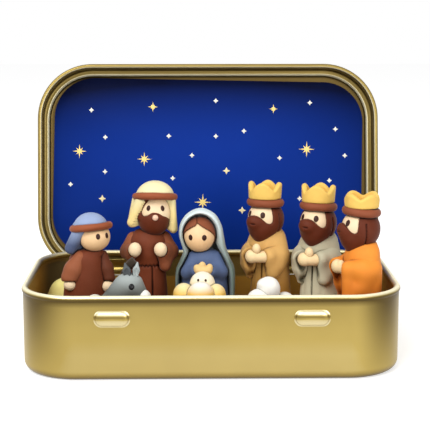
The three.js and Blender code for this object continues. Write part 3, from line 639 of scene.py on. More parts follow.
def turned(profile, flatten, middle=(0.0, 0.0), soft=0.8):
    """Form about an upright axis, flattened along Y: its radius against height is a smooth line."""
    radius, height = smooth_line(profile).T

    def field(p):
        out = np.hypot(p[..., 0] - middle[0], (p[..., 1] - middle[1]) / flatten)
        wall = out - np.interp(p[..., 2], height, radius)
        end = np.maximum(height[0] - p[..., 2], p[..., 2] - height[-1])
        return -soft_least(-wall, -end, soft)

    return field


def behind(p):
    """A distance that keeps a line pressed into the front of a lump off its back."""
    return 20 * (p[..., 1] > 0)


def front_line(x, depth, width, low, high):
    """A seam pressed down the front of a robe at some distance aside, between two heights."""

    def gap(p):
        past = np.maximum(np.maximum(low - p[..., 2], p[..., 2] - high), 0)
        return np.abs(p[..., 0] - x) + past + behind(p)

    return depth, width, gap


HALVINGS = 10


def traced(field, foot, head, reach=12.0, rows=44, columns=64, steps=36):
    """Rings of a lump that shows whole from a spindle inside it. The rows pass over a capsule round the
    spindle, from its foot to its head, and a ray leaves the spindle at each place. The skin is where the
    field last turns from clay to air along the ray, found by steps inwards, then by halving the step."""
    foot, head = np.array(foot, float), np.array(head, float)
    length = np.linalg.norm(head - foot)
    along = (head - foot) / length if length > 0 else np.array([0.0, 0.0, 1.0])
    side = np.cross([0.0, 1.0, 0.0], along)
    side /= np.linalg.norm(side)
    across = np.cross(along, side)
    blunt = reach / 3
    run = (np.arange(rows) + 0.5) / rows * (np.pi * blunt + length)
    lift = np.clip(run - np.pi * blunt / 2, 0, length)
    rise = (run - lift) / blunt - np.pi / 2
    angle = full_turn(columns)[:, None]
    flat = np.cos(angle) * side + np.sin(angle) * across
    ray = np.cos(rise)[:, None, None] * flat + np.sin(rise)[:, None, None] * along
    origin = foot + lift[:, None, None] * along
    inner = np.zeros(ray.shape[:2])
    outer = np.full(ray.shape[:2], reach / steps)
    found = np.zeros(ray.shape[:2], bool)
    for step in range(steps, -1, -1):
        radius = reach * step / steps
        fresh = (field(origin + radius * ray) < 0) & ~found
        inner[fresh] = radius
        outer[fresh] = radius + reach / steps
        found |= fresh
    for _ in range(HALVINGS):
        middle = (inner + outer) / 2
        inside = field(origin + middle[..., None] * ray) < 0
        inner = np.where(inside, middle, inner)
        outer = np.where(inside, outer, middle)
    return origin + inner[..., None] * ray


def lump(middle, radii, reach=7.0):
    """Rings of one ball of clay, traced from its middle."""
    return traced(ball(middle, radii), middle, middle, reach, rows=40, columns=56)


def rolled_band(centre, radius, thickness, aside=0.0, back=0.0):
    """Rings of a rolled band of clay round a head: a torus, a little uneven, tipped aside and back by
    some degrees."""
    turn = full_turn(80)[:, None]
    roll = full_turn(20)[None]
    thick = thickness * (1 + 0.03 * np.sin(3 * turn + 1) + 0.02 * np.sin(7 * turn))
    out = radius + thick * np.cos(roll)
    x, y = out * np.cos(turn), out * np.sin(turn)
    z = thick * np.sin(roll) + x * np.tan(np.radians(aside)) - y * np.tan(np.radians(back))
    return np.stack([x, y, z], -1) + np.array(centre, float)


def dot(head, radii, aside, up, width=0.66, height=0.9, proud=0.2):
    """Rings of an oval dot pressed on a head: it lies along the surface, at an angle aside and up from
    the front."""
    aside, up = np.radians(aside), np.radians(up)
    out = np.array([np.sin(aside) * np.cos(up), -np.cos(aside) * np.cos(up), np.sin(up)])
    right = np.array([np.cos(aside), np.sin(aside), 0.0])
    over = np.cross(out, right)
    place = np.array(head, float) + np.array(radii, float) * out
    rows = 14
    rise = (np.arange(rows) + 0.5) / rows * np.pi - np.pi / 2
    turn = full_turn(28)[None, :, None]
    ring = width * np.cos(turn) * right + height * np.sin(turn) * over
    return place + np.cos(rise)[:, None, None] * ring + proud * np.sin(rise)[:, None, None] * out


def clay(name, colour, shadow=0.4, rough=0.5, low=None, levels=(0, 1)):
    """Modelling clay: soft matt colour, faintly cloudy and thumbed, with painted shade in its folds and
    darker painted shade lines in the grooves where pieces meet. A second colour below, if there is one,
    is blended in between two levels above the table. The hollow inside a sleeve gets dark painted shade."""
    material, start, spot = new_finish(name)

    def tinted(gain, power=1.0, lift=0.0):
        return tuple(min(1.0, gain * c ** power + lift) for c in colour[:3]) + (1.0,)

    deep, soft, sleeve_hollow_shade = tinted(0.3 * shadow, 1.3), tinted(shadow ** 0.5, 1.2), tinted(0.3, 1.5)
    light, dull = tinted(1.06, lift=0.01), tinted(0.88)
    cloud = start.noise(spot, 3.2, 3.0)
    thumbed = start.noise(spot, 0.9, 2.0)
    grain = start.noise(spot, 0.16, 2.0)
    tone = start.blend(cloud, dull, light)
    if low:
        worked = (levels[1] * MM - start.along(spot, "Z")) * (1 / (levels[1] - levels[0]) / MM)
        tone = start.blend((worked + (cloud - 0.5) * 0.3).clamped(), tone, low)
    # Painted shade: darker and richer in wide folds, dark lines in narrow grooves, and dark in sleeve
    # hollows.
    tone = start.blend(((1 - start.openness(3.0, 6)) * 0.9).clamped(), tone, soft)
    tone = start.blend(((1 - start.openness(0.7)) * 2.2 - 0.3).clamped(), tone, deep)
    tone = start.blend(start.mark("lining"), tone, sleeve_hollow_shade)
    relief = thumbed * 0.75 + grain * 0.25
    rough = rough + cloud * 0.1 + grain * 0.08
    sheen = {"Specular_IOR_Level": 0.16, "Sheen_Weight": 0.12, "Sheen_Roughness": 0.35}
    close_finish(start, relief, 0.22, 0.12, Base_Color=tone, Roughness=rough, **sheen)
    return material


class Figure:
    """A figure that stands on the tin's floor: its body in the frame, its name, place and turn."""

    def __init__(self, body, name, x, y, turn=0.0):
        self.body = body
        self.name = name
        self.place = np.array([x, y, FLOOR_LEVEL])
        self.turn = turned_about(2, turn)

    def head_held(self, pivot, look, back, shift):
        """The same figure's head: turned aside and tipped back about a point, then shifted in X and Z."""
        head = Figure(self.body, self.name, 0, 0)
        head.turn = self.turn @ turned_about(2, look) @ turned_about(0, -back)
        head.place = self.place + [shift[0], 0, shift[1]] + (self.turn - head.turn) @ np.array(pivot)
        return head

    def add(self, part, finish, *stacks, looped=False, marks=None):
        """Sets rings in place as one piece, which stands for the node of the same name, if any."""
        node = f"{self.name}_{part}"
        nodes = [node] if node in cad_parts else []
        skins = [skin(rings @ self.turn.T + self.place, looped) for rings in stacks]
        show(f"{node}_clay", skins, finish, self.body, *nodes, sharp=55, marks=marks)

    def eyes(self, finish, head, radii, *dots):
        """Presses on eyes: each is an angle aside and up and, where it differs, the size of its dot."""
        self.add("eyes", finish, *[dot(head, radii, *shape) for shape in dots])


brown = clay("brown_clay", ink(114, 52, 24))
skin_tone = clay("skin_clay", ink(254, 223, 184), 0.9)
# Painted light on faces under a headcloth or veil: warmer and a little brighter low on the face than at
# the brow.
painted_light_face = clay("skin_clay", ink(248, 209, 162), 0.9, low=ink(255, 207, 150), levels=(31.5, 37.5))
# Painted shade: the shepherd's headcloth darkens where it hangs down below the band.
dust_blue = clay("dust_blue_clay", ink(154, 170, 204), low=ink(80, 92, 124), levels=(34.0, 39.0))
terracotta = clay("terracotta_clay", ink(154, 81, 48))
# Lit and shaded copies of the brown clay, as painted light: lighter for sleeves turned to the light,
# darker for a sleeve in shade.
lit_brown = clay("brown_clay", ink(152, 87, 55))
half_lit_brown = clay("brown_clay", ink(140, 76, 46))
shaded_brown = clay("brown_clay", ink(100, 48, 24))
eye_brown = clay("hair_clay", ink(58, 26, 14), 0.6, 0.25)

shepherd = Figure("shepherd", "shepherd", -39.1, 2.0)
head = (2.9, -0.6, 35.8)
head_size = (4.9, 4.9, 4.65)
robe = turned([(7.7, 0), (7.9, 1.5), (7.7, 12), (6.9, 20), (5.6, 27), (4.9, 29.6), (3.4, 31.6)], 0.82)
collar = ball((2.4, 0.0, 30.7), (3.4, 3.0, 1.7))
robe = traced(melt(0.8, robe, collar), (0.5, 0, 5), (0.5, 0, 27), rows=60, columns=80)
shepherd.add("robe", brown, robe)
shepherd.add("head", painted_light_face, lump(head, head_size))
cap = carved(0.5, ball((1.7, 0.0, 38.3), (5.5, 5.4, 5.0)), side_of((1.7, 0, 38.2), (-0.1, 0.14, 1)))
fall = melt(
    0.9,
    rod((-1.3, -2.0, 38.0), (-4.5, -1.0, 32.2), 2.3, 1.95),
    rod((-1.9, 1.4, 38.2), (-2.9, 1.6, 32.3), 2.4, 2.3),
    rod((1.0, 3.0, 38.6), (0.4, 3.4, 32.6), 2.3, 2.2),
    rod((4.6, 2.8, 38.4), (5.0, 3.0, 33.4), 1.9, 1.9),
)
headcloth = traced(melt(0.5, cap, fall), (0.8, 0.9, 36), (1.4, 0.4, 39), rows=80, columns=110)
shepherd.add("headcloth", dust_blue, headcloth)
shepherd.add("headband", terracotta, rolled_band((1.75, 0.0, 38.75), 5.6, 1.15, 5.5, 7.0), looped=True)
# The left sleeve takes the lit brown and the right the shaded brown, as painted light.
SHEPHERD_ARMS = (
    ("left", lit_brown, (-1.5, -1.9, 29.3), (-4.6, -3.0, 23.2), 2.2, 3.0, (-4.7, -3.8, 21.1)),
    ("right", shaded_brown, (5.3, 0.5, 29.6), (7.1, -1.2, 22.8), 1.6, 2.1, (6.8, -2.2, 20.2)),
)
for part, cloth, shoulder, wrist, upper, lower, hand in SHEPHERD_ARMS:
    cuff = side_of(np.array(hand) + [0, 0, 1.0], (0, 0.2, 1))
    pocket = ball(np.array(hand) + [0, 0, 0.6], (1.95, 1.95, 1.5))
    middle = 0.6 * np.array(wrist) + 0.4 * np.array(shoulder)
    elbow = middle + [0.15 * min(wrist[0], 0) / 5, 0, 0]
    arm = melt(1.5, rod(shoulder, elbow, upper, lower - 0.1), rod(elbow, wrist, lower - 0.1, lower))
    sleeve = carved(0.45, arm, cuff, pocket)
    shepherd.add(f"sleeve_{part}", cloth, traced(sleeve, middle, shoulder, 8.0, 60, 72))
    shepherd.add(f"hand_{part}", skin_tone, lump(hand, (2.1, 1.95, 1.85), 4.0))
shepherd.eyes(eye_brown, head, head_size, (17, 10), (56, 10))

# Father
# A brown robe tied at the waist, and a pale headcloth under a rolled band, with its two ends hanging
# down. The beard is one lump of dark clay pressed over the chin, and the nose a small ball.
# Painted shade: the father's headcloth turns darker and warmer where its ends hang below the band.
cream = clay("cream_clay", ink(244, 232, 182), 0.6, low=ink(250, 224, 152), levels=(42.0, 48.0))
hair_brown = clay("hair_clay", ink(96, 38, 12))
blush = clay("skin_clay", ink(250, 206, 178), 0.6)


def from_front(x, y):
    """Angle of a place round an upright axis from the front, in degrees."""
    return np.degrees(np.arctan2(x, -y))


def window(middle, edge, widest, core, lean=0.0, soft=1.2):
    """Opening for a face in a beard: above an edge whose height changes with the angle from the front, as
    pairs of angle and height, and within an angle to the left, which may lean in higher up, and one to
    the right. A core is left uncut under the face."""
    angles, heights = smooth_line(edge).T

    def field(p):
        x, y = p[..., 0] - middle[0], p[..., 1] - middle[1]
        angle = from_front(np.abs(x), y)
        low = np.interp(angle, angles, heights) - p[..., 2]
        left = widest[0] - lean * np.clip(p[..., 2] - middle[2] - 1, 0, 5)
        aside = (angle - np.where(x < 0, left, widest[1])) * np.radians(1) * np.hypot(x, y)
        return np.maximum(-soft_least(-low, -aside, soft), -core(p))

    return field


father = Figure("father", "father", -19.8, 11.5)
head = (2.4, -0.5, 41.8)
head_size = (5.05, 5.0, 5.9)
BELT = 25.0


def waist(p):
    """Distance from the waist cord, which winds a little up and down round the robe."""
    return p[..., 2] - BELT + 0.22 * np.cos(24 * np.arctan2(p[..., 1], p[..., 0]))


robe_side = [(6.4, 0), (6.5, 1.2), (6.1, 15), (5.6, 23), (5.8, 26)]
robe_side += [(6.5, 29), (6.2, 32.6), (4.9, 35), (3.4, 36.4)]
seam = front_line(1.4, 0.7, 0.22, -1, BELT - 0.4)
robe = scored(turned(robe_side, 0.85), (0.8, 0.36, waist), seam)
father.add("robe", brown, traced(robe, (0, 0, 4), (0, 0, 31), rows=120, columns=130))
father.add("head", skin_tone, lump(head, head_size))
cap = carved(0.5, ball((2.3, 0.0, 46.6), (6.15, 6.0, 5.3)), side_of((2.3, 0, 46.4), (0, 0.18, 1)))
tails = melt(
    0.8,
    rod((-2.0, -2.6, 46.0), (-4.9, -1.3, 38.7), 1.85, 1.75),
    rod((-3.0, 1.0, 46.0), (-4.7, 1.6, 38.4), 2.0, 1.9),
    rod((2.3, 3.4, 46.0), (2.3, 4.2, 37.4), 2.4, 2.4),
    rod((7.2, 1.8, 46.0), (7.6, 2.2, 36.8), 1.7, 1.6),
    rod((7.65, -1.7, 46.0), (8.1, -1.2, 36.5), 1.1, 1.42),
)
headcloth = traced(melt(0.5, cap, tails), (2.2, 0.9, 39), (2.3, 0.3, 46.6), rows=110, columns=140)
father.add("headcloth", cream, headcloth)
father.add("headband", terracotta, rolled_band((2.25, 0.0, 46.75), 6.1, 1.15, -1.0, 10.0), looped=True)
chin = melt(1.0, ball((1.9, -0.9, 39.7), (5.1, 5.3, 5.4)), ball((2.3, -4.2, 40.4), (2.6, 1.9, 2.0)))
face_edge = [(0, 42.6), (12, 42.4), (30, 41.4), (50, 41.2), (70, 42.0), (80, 44.0)]
lock = (-1.6, -3.1, 44.2)
cheek = melt(0.5, rod((-2.2, -2.4, 40.6), lock, 1.3, 0.95), rod(lock, (-0.1, -3.8, 46.6), 0.95, 0.8))
bared = window(head, face_edge, (58, 78), ball(head, 4.6), 5.0)
beard = carved(0.3, melt(0.8, chin, cheek), bared)
father.add("beard", hair_brown, traced(beard, (2.1, -0.6, 38), (2.1, -0.6, 41), 9.0, 110, 160))
# The left sleeve takes the lit brown and the right a half-lit brown, as painted light.
FATHER_ARMS = (
    ("left", lit_brown, (-4.6, 0.3, 33.0), (-6.2, -0.9, 29.2), (-5.6, -3.2, 28.4), (-4.0, -6.8, 30.9)),
    ("right", half_lit_brown, (5.0, 0.3, 33.2), (6.9, -0.9, 29.2), (5.5, -4.4, 25.1), (4.1, -6.9, 30.9)),
)
for part, cloth, shoulder, elbow, droop, hand in FATHER_ARMS:
    cuff = np.array(hand) + [np.sign(hand[0]) * 0.5, 2.0, -0.7]
    upper = rod(shoulder, elbow, 2.4, 2.75)
    bag = melt(0.8, rod(elbow, cuff, 2.6, 2.3), rod(elbow, droop, 2.4, 1.7), rod(cuff, droop, 2.0, 1.6))
    arm = melt(0.8, upper, bag)
    sleeve = carved(0.35, arm, ball(np.array(hand) + [0, -0.6, -0.1], (2.35, 2.7, 2.6)))
    father.add(f"sleeve_{part}", cloth, traced(sleeve, elbow, shoulder, 9.0, 80, 100))
    father.add(f"hand_{part}", skin_tone, lump(hand, (2.05, 1.9, 2.3), 4.5))
father.eyes(eye_brown, head, head_size, (-26, 20), (30, 19))
father.add("nose", blush, dot((2.5, -0.9, 41.0), (5.4, 5.4, 5.4), 0, 0, 0.95, 0.95, 0.85))

# Mother
# A slate-blue dress with folded arms, under a pale green veil that falls to the floor. The veil is a
# thick sheet with a rolled edge, the hair is parted in the middle, and the hands are one lump with three
# fingers pressed up from it.
# Painted shade: the veil darkens downwards, from the top of the hood to the level of the arms.
sage = clay("sage_clay", ink(226, 240, 240), 0.4, low=ink(110, 127, 118), levels=(27.0, 43.5))
slate_blue = clay("slate_blue_clay", ink(85, 102, 138))
parted_brown = clay("hair_clay", ink(138, 76, 47))
hands_cream = clay("skin_clay", ink(240, 204, 138), 0.6)

mother = Figure("mother", "mother", -1.6, 5.0)
head = (-1.8, -0.9, 35.7)
head_size = (4.9, 4.8, 5.5)
dress = melt(
    1.0,
    turned([(7.6, 0), (7.8, 1.5), (7.6, 16), (6.7, 24), (5.0, 28.6), (3.0, 31.0)], 0.85, (-0.2, 0.0)),
    rod((-3.9, -0.8, 28.4), (-5.2, -3.0, 24.0), 1.9, 2.4),
    rod((-5.2, -3.0, 24.0), (-3.2, -6.4, 25.2), 2.2, 1.8),
    rod((3.4, -0.8, 28.6), (4.6, -3.0, 24.2), 1.9, 2.4),
    rod((4.6, -3.0, 24.2), (1.9, -6.4, 25.2), 2.2, 1.8),
)
mother.add("dress", slate_blue, traced(dress, (-0.3, -0.8, 5), (-0.3, -0.8, 27), rows=110, columns=130))
mother.add("head", painted_light_face, lump(head, head_size))


def hairline(p):
    """What is cut from the hair to bare the face: all below a line that is highest at the parting and
    falls to both sides, but for a core under the face."""
    x, y = p[..., 0] - head[0], p[..., 1] - head[1]
    angle = np.abs(from_front(x, y) + 8)
    line = np.interp(angle, [0, 12, 30, 50, 70, 90], [39.9, 39.3, 38.5, 37.5, 36.2, 34.6])
    aside = (angle - 84) * np.radians(1) * np.hypot(x, y)
    return np.maximum(np.maximum(p[..., 2] - line, aside), -ball(head, 4.4)(p))


parting = (0.36, 0.2, lambda p: p[..., 0] + 2.6 + behind(p))
hair = carved(0.3, scored(ball((-1.85, -0.9, 36.0), (5.25, 5.3, 5.5)), parting), hairline)
mother.add("hair", parted_brown, traced(hair, (-1.85, 0.4, 35.8), (-1.85, 0.4, 37.4), 8.0, 100, 140))
VEIL_RIM = [
    (-9.2, 0.4, -7.6, 1.2), (-9.5, 8, -8.2, 8), (-9.5, 16, -8.3, 16), (-9.35, 23.6, -8.1, 23.6),
    (-8.1, 27.0, -6.5, 27.4), (-7.0, 30.0, -5.3, 30.2), (-7.5, 32.6, -6.1, 32.6),
    (-8.3, 35.8, -6.9, 35.6), (-7.7, 39.4, -6.2, 38.9), (-5.3, 42.5, -4.4, 41.3),
    (-1.2, 44.0, -1.8, 42.2), (3.0, 42.2, 0.9, 41.2), (5.2, 38.6, 2.8, 38.6), (5.9, 35.4, 3.3, 35.4),
    (6.6, 31.6, 3.5, 32.4), (8.0, 27.8, 5.9, 27.8), (9.4, 24.2, 7.0, 24.2), (9.4, 16, 7.8, 16),
    (9.2, 8, 7.8, 8), (9.0, 0.4, 7.6, 1.2), (0.0, 0.0, 0.0, 1.0),
]
VEIL_SIDE = 0.6
VEIL_BACK = 7.4
VEIL_LIP = 4.6
VEIL_WALL = 1.3


def veil_rings():
    """Rings round the veil's opening. The rim's stations give the outline and the opening as x and z. A
    ring starts at the back on a spine inside the outline, widens over a quarter ellipse to the outline,
    rolls forward and in over half an ellipse to the opening, and goes back inside over a quarter."""
    closed = np.array(VEIL_RIM + VEIL_RIM[:1], float)
    outline, opening = np.split(smooth_line(closed, 6)[:-1], 2, axis=1)
    spine = np.stack([np.full(len(outline), -0.9), np.clip(outline[:, 1], 7.0, 37.0)], -1)
    bulge = np.radians(np.linspace(4, 90, 22))[:, None, None]
    roll = np.radians(np.linspace(12, 180, 15))[:, None, None]
    back = spine + np.sin(bulge) * (outline - spine)
    back_y = VEIL_SIDE + (VEIL_BACK - VEIL_SIDE) * np.cos(bulge)
    lip = outline + (opening - outline) * (1 - np.cos(roll)) / 2
    lip_y = VEIL_SIDE - VEIL_LIP * np.sin(roll) ** 0.8 + 0.6 * (1 - np.cos(roll))
    inside = spine + np.sin(bulge[::-1]) * (opening - spine)
    inside_y = lip_y[-1:] + (VEIL_BACK - VEIL_WALL - lip_y[-1:]) * np.cos(bulge[::-1])
    plan = np.vstack([back, lip, inside])
    depth = np.vstack([np.broadcast_to(y, (len(y), len(outline), 1)) for y in (back_y, lip_y, inside_y)])
    return np.concatenate([plan[..., :1], depth, plan[..., 1:]], -1)


mother.add("veil", sage, veil_rings())
fingers = melt(
    0.45,
    ball((-0.7, -7.6, 25.6), (2.9, 1.8, 1.5)),
    ball((-2.7, -7.6, 26.4), (1.0, 1.1, 1.2)),
    ball((-1.0, -7.5, 27.1), (1.15, 1.1, 1.35)),
    ball((1.3, -7.6, 26.5), (1.05, 1.1, 1.3)),
)
mother.add("hands", hands_cream, traced(fingers, (-1.8, -7.6, 25.8), (0.4, -7.6, 25.8), 5.0, 56, 72))
mother.eyes(eye_brown, head, head_size, (-35, -1, 0.7, 0.92), (18, -1, 0.76, 0.92))

# Baby in the manger
# A brown clay manger, heaped with straw-coloured clay. The child in it is two balls of clay, one for the
# head and one for the white swaddling, pressed into the heap.
white = clay("white_clay", ink(248, 245, 236), 0.6)
straw_yellow = clay("straw_clay", ink(255, 244, 198), 0.6, low=ink(252, 202, 92), levels=(22.8, 26.4))
heap_yellow = clay("straw_clay", ink(255, 236, 146), 1.0)
baby_tone = clay("skin_clay", ink(250, 241, 216), 0.7, low=ink(250, 222, 174), levels=(23.6, 27.6))
swaddling_white = clay("white_clay", ink(252, 247, 236), 0.6, low=ink(251, 196, 84), levels=(23.4, 26.1))

baby = Figure("baby_in_manger", "baby", -3.6, -17.0)
head = (0.95, 1.4, 24.2)
head_size = (3.85, 3.5, 4.0)
manger = turned([(5.4, 0), (5.8, 1), (6.3, 8), (7.0, 15.4)], 0.9)
baby.add("manger", brown, traced(manger, (0, 0, 3), (0, 0, 12)))
baby.add("head", baby_tone, lump(head, head_size))
baby.add("swaddling", swaddling_white, lump((0.35, -3.9, 21.9), (4.2, 3.9, 4.2)))
heap = melt(
    0.7,
    ball((0, 0, 18.2), (7.8, 6.8, 3.6)),
    ball((-4.7, -0.8, 21.7), (3.2, 4.2, 3.4)),
    ball((5.0, -0.8, 21.5), (3.0, 4.2, 3.3)),
    ball((0.6, 3.6, 20.6), (4.6, 2.6, 3.2)),
)
baby.add("straw", straw_yellow, traced(heap, (-2.4, 0, 18.4), (2.4, 0, 18.4), rows=80, columns=90))
BABY_EYE = (0.36, 0.42, 0.16)
baby.eyes(eye_brown, head, head_size, (-23, 30, *BABY_EYE), (16, 29, *BABY_EYE))

# Donkey
# A grey donkey with a wedge-shaped head, on four rolled legs. The white muzzle, the leaf-shaped ears, the
# mane and the cloth over its back are lumps of other clay, pressed on.
# Painted shade: the grey darkens from the head down over the neck, and the body below is dark.
donkey_grey = clay("donkey_clay", ink(170, 178, 176), low=ink(98, 101, 96), levels=(24.0, 29.0))
saddle_pale = clay("cream_clay", ink(236, 232, 216), 0.6)
mane_brown = clay("mane_clay", ink(58, 46, 34))
eye_black = clay("mane_clay", ink(24, 24, 26), 0.7, 0.12)

donkey = Figure("donkey", "donkey", -29.1, -20.0)
LEG_PLACES = [(x, y) for x in (-9.6, 0.4) for y in (-2.4, 2.4)]


def legs(places, radius, top):
    """Rings of upright legs, each a rod cut flat at the floor."""
    rings = []
    for x, y in places:
        leg = carved(0.3, rod((x, y, radius), (x, y, top), radius, radius), side_of((x, y, 0), (0, 0, 1)))
        rings.append(traced(leg, (x, y, 2), (x, y, top - 2), 6.0, 30, 24))
    return rings


trunk = melt(
    1.4,
    rod((-9, 0, 14), (0, 0, 14), 5.0, 5.0),
    rod((-0.6, 0, 17), (3.7, 0, 24.4), 5.4, 4.15),
    rod((5.2, 0, 24.6), (8.2, -0.3, 20.8), 4.0, 2.6),
)
donkey.add("body", donkey_grey, traced(trunk, (-7, 0, 14.4), (4.4, 0, 21.5), 13.0, 110, 110, 48))
donkey.add("legs", donkey_grey, *legs(LEG_PLACES, 1.9, 12))
tail = rod((-13.4, 0, 15.6), (-14.2, 0, 9), 0.9, 1.1)
donkey.add("tail", donkey_grey, traced(tail, (-14.1, 0, 10), (-13.5, 0, 15), 3.0, 30, 24))
donkey.add("muzzle", white, lump((9.1, -1.4, 20.9), (2.2, 2.9, 3.1), 5.0))
# A shaded copy of the donkey's grey, as painted shade on the left ear.
shaded_ear_grey = clay("mane_clay", ink(84, 88, 90))
EARS = (
    ("ear_left", shaded_ear_grey, (4.3, -1.2, 28.2), (3.4, -0.2, 31.8), 1.15),
    ("ear_right", donkey_grey, (6.5, -0.9, 28.4), (7.1, 0.2, 31.9), 1.0),
)
for part, grey, root, tip, half in EARS:
    root, tip = np.array(root), np.array(tip)
    middle = 0.6 * root + 0.4 * tip
    leaf = melt(0.6, rod(root, middle, 0.85 * half, half), rod(middle, tip, half, 0.25))
    leaf = carved(0.25, leaf, ball(middle + [0.05, -1.25, -0.1], (0.7 * half, 0.9, 1.7)))
    donkey.add(part, grey, traced(leaf, root, 0.15 * root + 0.85 * tip, 3.0, 56, 56))


def tuft(p):
    """Field of the mane's square end: a block with round edges, turned onto its corner."""
    past = np.abs((p - [5.1, 2.4, 31.3]) @ turned_about(1, 42).T) - [1.0, 0.9, 0.8]
    return np.linalg.norm(np.maximum(past, 0), axis=-1) + np.minimum(past.max(-1), 0) - 0.4


mane = melt(0.5, tuft, rod((3.2, 2.5, 28.2), (4.6, 2.5, 30.6), 1.2, 1.1))
donkey.add("mane", mane_brown, traced(mane, (3.9, 2.5, 29.6), (5.1, 2.4, 31.3), 5.0, 60, 72))
donkey.add("saddle_cloth", saddle_pale, lump((-5.8, 0, 17.6), (3.5, 5.7, 4.6), 8.0))
donkey.eyes(eye_black, (4.9, 0, 24.4), (4.1, 4.1, 4.1), (7, 16, 0.95, 0.98, 0.4))

# Sheep
# A white sheep on four rolled legs. The fleece is three smooth lumps of clay pressed into one, and the
# head is a separate lump, laid back on its shoulder.
sheep = Figure("sheep", "sheep", 17.8, -18.0)
fleece = melt(
    0.4,
    ball((1.6, 0.4, 14.6), (6.4, 5.6, 7.2)),
    ball((4.3, 0.8, 18.4), (3.4, 4.0, 3.7)),
    ball((-3.6, -2.4, 20.2), (3.8, 3.4, 3.7)),
)
sheep.add("fleece", white, traced(fleece, (-1.6, -0.6, 15.6), (2.6, 0.4, 15), rows=80, columns=90))
sheep.add("legs", white, *legs([(x, y) for x in (-2.6, 6.4) for y in (-2.4, 2.4)], 1.6, 12))
crest = melt(0.5, ball((-0.7, -0.6, 23.4), (3.55, 3.6, 3.8)), ball((-2.4, -1.0, 25.0), (1.7, 2.4, 1.5)))
sheep.add("head", white, traced(crest, (-1.0, -0.7, 23.2), (-0.6, -0.7, 23.6), 8.0, 60, 80))

# Kings
# Three kings alike but for their cloth: a straight robe, a mantle with wide drooping sleeves, joined
# hands, and a long beard and hair in one lump under a rolled band. The crown is a clay cup with four
# broad points.
crown_gold = clay("crown_clay", ink(242, 199, 102), 0.55)
joined_cream = clay("skin_clay", ink(255, 221, 170), 0.7)
# Each king's second cloth colour is painted light: towards the floor the cloth turns darker as painted
# shade for tan and orange, and lighter for grey.
KINGS = (
    {
        "name": "king_tan", "cloth": (224, 176, 104), "hem": (160, 114, 48),
        "place": (18.0, 12.0, -28.0), "look": -13.0, "tip": (3.0, 1.5), "shift": (-0.1, 0.0),
        "crown": (5.45, 2.8, -0.35), "eyes": (-29, 32, 16), "robe": 1.4, "fall": 0.0, "muzzle": 4.75,
    },
    {
        "name": "king_grey", "cloth": (200, 194, 166), "hem": (214, 207, 176),
        "place": (34.2, 7.0, -28.0), "look": -13.0, "tip": (5.0, 2.5), "shift": (0.25, -0.45),
        "crown": (5.8, 2.8, 0.05), "eyes": (-29, 32, 16), "robe": 0.9, "fall": 0.8, "muzzle": 5.0,
    },
    {
        "name": "king_orange", "cloth": (241, 147, 52), "hem": (208, 96, 14),
        "place": (45.6, -8.5, -70.0), "look": -9.0, "tip": (5.0, 0.0), "shift": (0.5, 0.5),
        "crown": (4.6, 2.0, 0.45), "eyes": (-29, 28, 17), "robe": 0.0, "fall": 5.0, "muzzle": 4.3,
    },
)
hatband_brown = clay("terracotta_clay", ink(140, 74, 46))
BAND_LEVEL = 44.8
CROWN_FOOT = 46.0
CROWN_TURN = 13.0
CROWN_RADIUS = 5.2
CROWN_FLARE = 0.2
CROWN_WALL = 1.75
LONG_FALL = 3.0
SLEEVE_SHADE_EDGE = 0.7
SLEEVE_SHADE_BLUR = 0.35


def crown_cup(turn, height, dip):
    """Rings of a crown: up the outer wall, over a round edge that rises to points and dips between, and
    down inside."""
    around = full_turn(144)
    wave = np.sqrt(0.95 * np.cos(2 * (around - np.radians(turn))) ** 2 + 0.05)
    edge = height - dip * (1 - wave)
    half = CROWN_WALL / 2
    over = np.radians(np.linspace(0, 180, 13))[:, None]
    up = np.array([0.0, 0.03, 0.08, 0.3, 0.55, 0.8, 1.0])[:, None]
    tuck = np.array([0.5, 0.12, 0.0, 0.0, 0.0, 0.0, 0.0])[:, None]
    down = np.array([0.9, 0.7, 0.5])[:, None]
    outer = CROWN_RADIUS - tuck + CROWN_FLARE * up + 0 * edge
    lip = CROWN_RADIUS + CROWN_FLARE - half + half * np.cos(over) + 0 * edge
    inner = CROWN_RADIUS + CROWN_FLARE * down - CROWN_WALL + 0 * edge
    lip_level = edge - half + half * np.sin(over)
    inner_level = np.maximum(down * (edge - half), 1.2)
    radius = np.vstack([outer, lip, inner])
    level = np.vstack([up * (edge - half), lip_level, inner_level])
    return np.stack([radius * np.cos(around), radius * np.sin(around), CROWN_FOOT + level], -1)


def king_beard(head, muzzle):
    """Beard and hair in one lump: a ball of hair, a muzzle and a broad chin, with a window that bares the
    face."""
    hair = ball((0, 0.3, 39.4), (6.0, 6.0, 6.2))
    front = ball((0, -muzzle, 38.7), (3.0, 2.9, 2.8))
    tip = rod((0, -2.0, 36.4), (0, -1.4, 32.4), 3.6, 1.9)
    whole = melt(1.2, hair, front, melt(1.2, ball((0, -1.7, 36.4), (4.15, 4.0, 3.9)), tip))

    def tuck(p):
        """Distance from the fold in the hair at both sides, which leans back as it goes down."""
        angle = from_front(np.abs(p[..., 0]), p[..., 1])
        above = np.maximum(p[..., 2] - 41.5, 0)
        return np.abs(angle - 91 - 1.2 * (41 - p[..., 2])) * 0.1 + above

    def mouth(p):
        """Distance from a short level line on the front of the muzzle."""
        past = np.maximum(np.abs(p[..., 0] - 0.7) - 0.5, 0)
        return np.hypot(p[..., 2] - 38.3, past) + behind(p)

    worked = scored(whole, (0.5, 0.3, tuck), (0.45, 0.28, mouth))
    edge = [(0, 40.9), (15, 40.7), (28, 40.1), (43, 39.0), (58, 38.4), (90, 38.4)]
    bared = carved(0.4, worked, window(head, edge, (72, 69), ball(head, 4.7)))
    return traced(bared, (0, -0.6, 36), (0, -0.4, 40), 10.0, 120, 200)


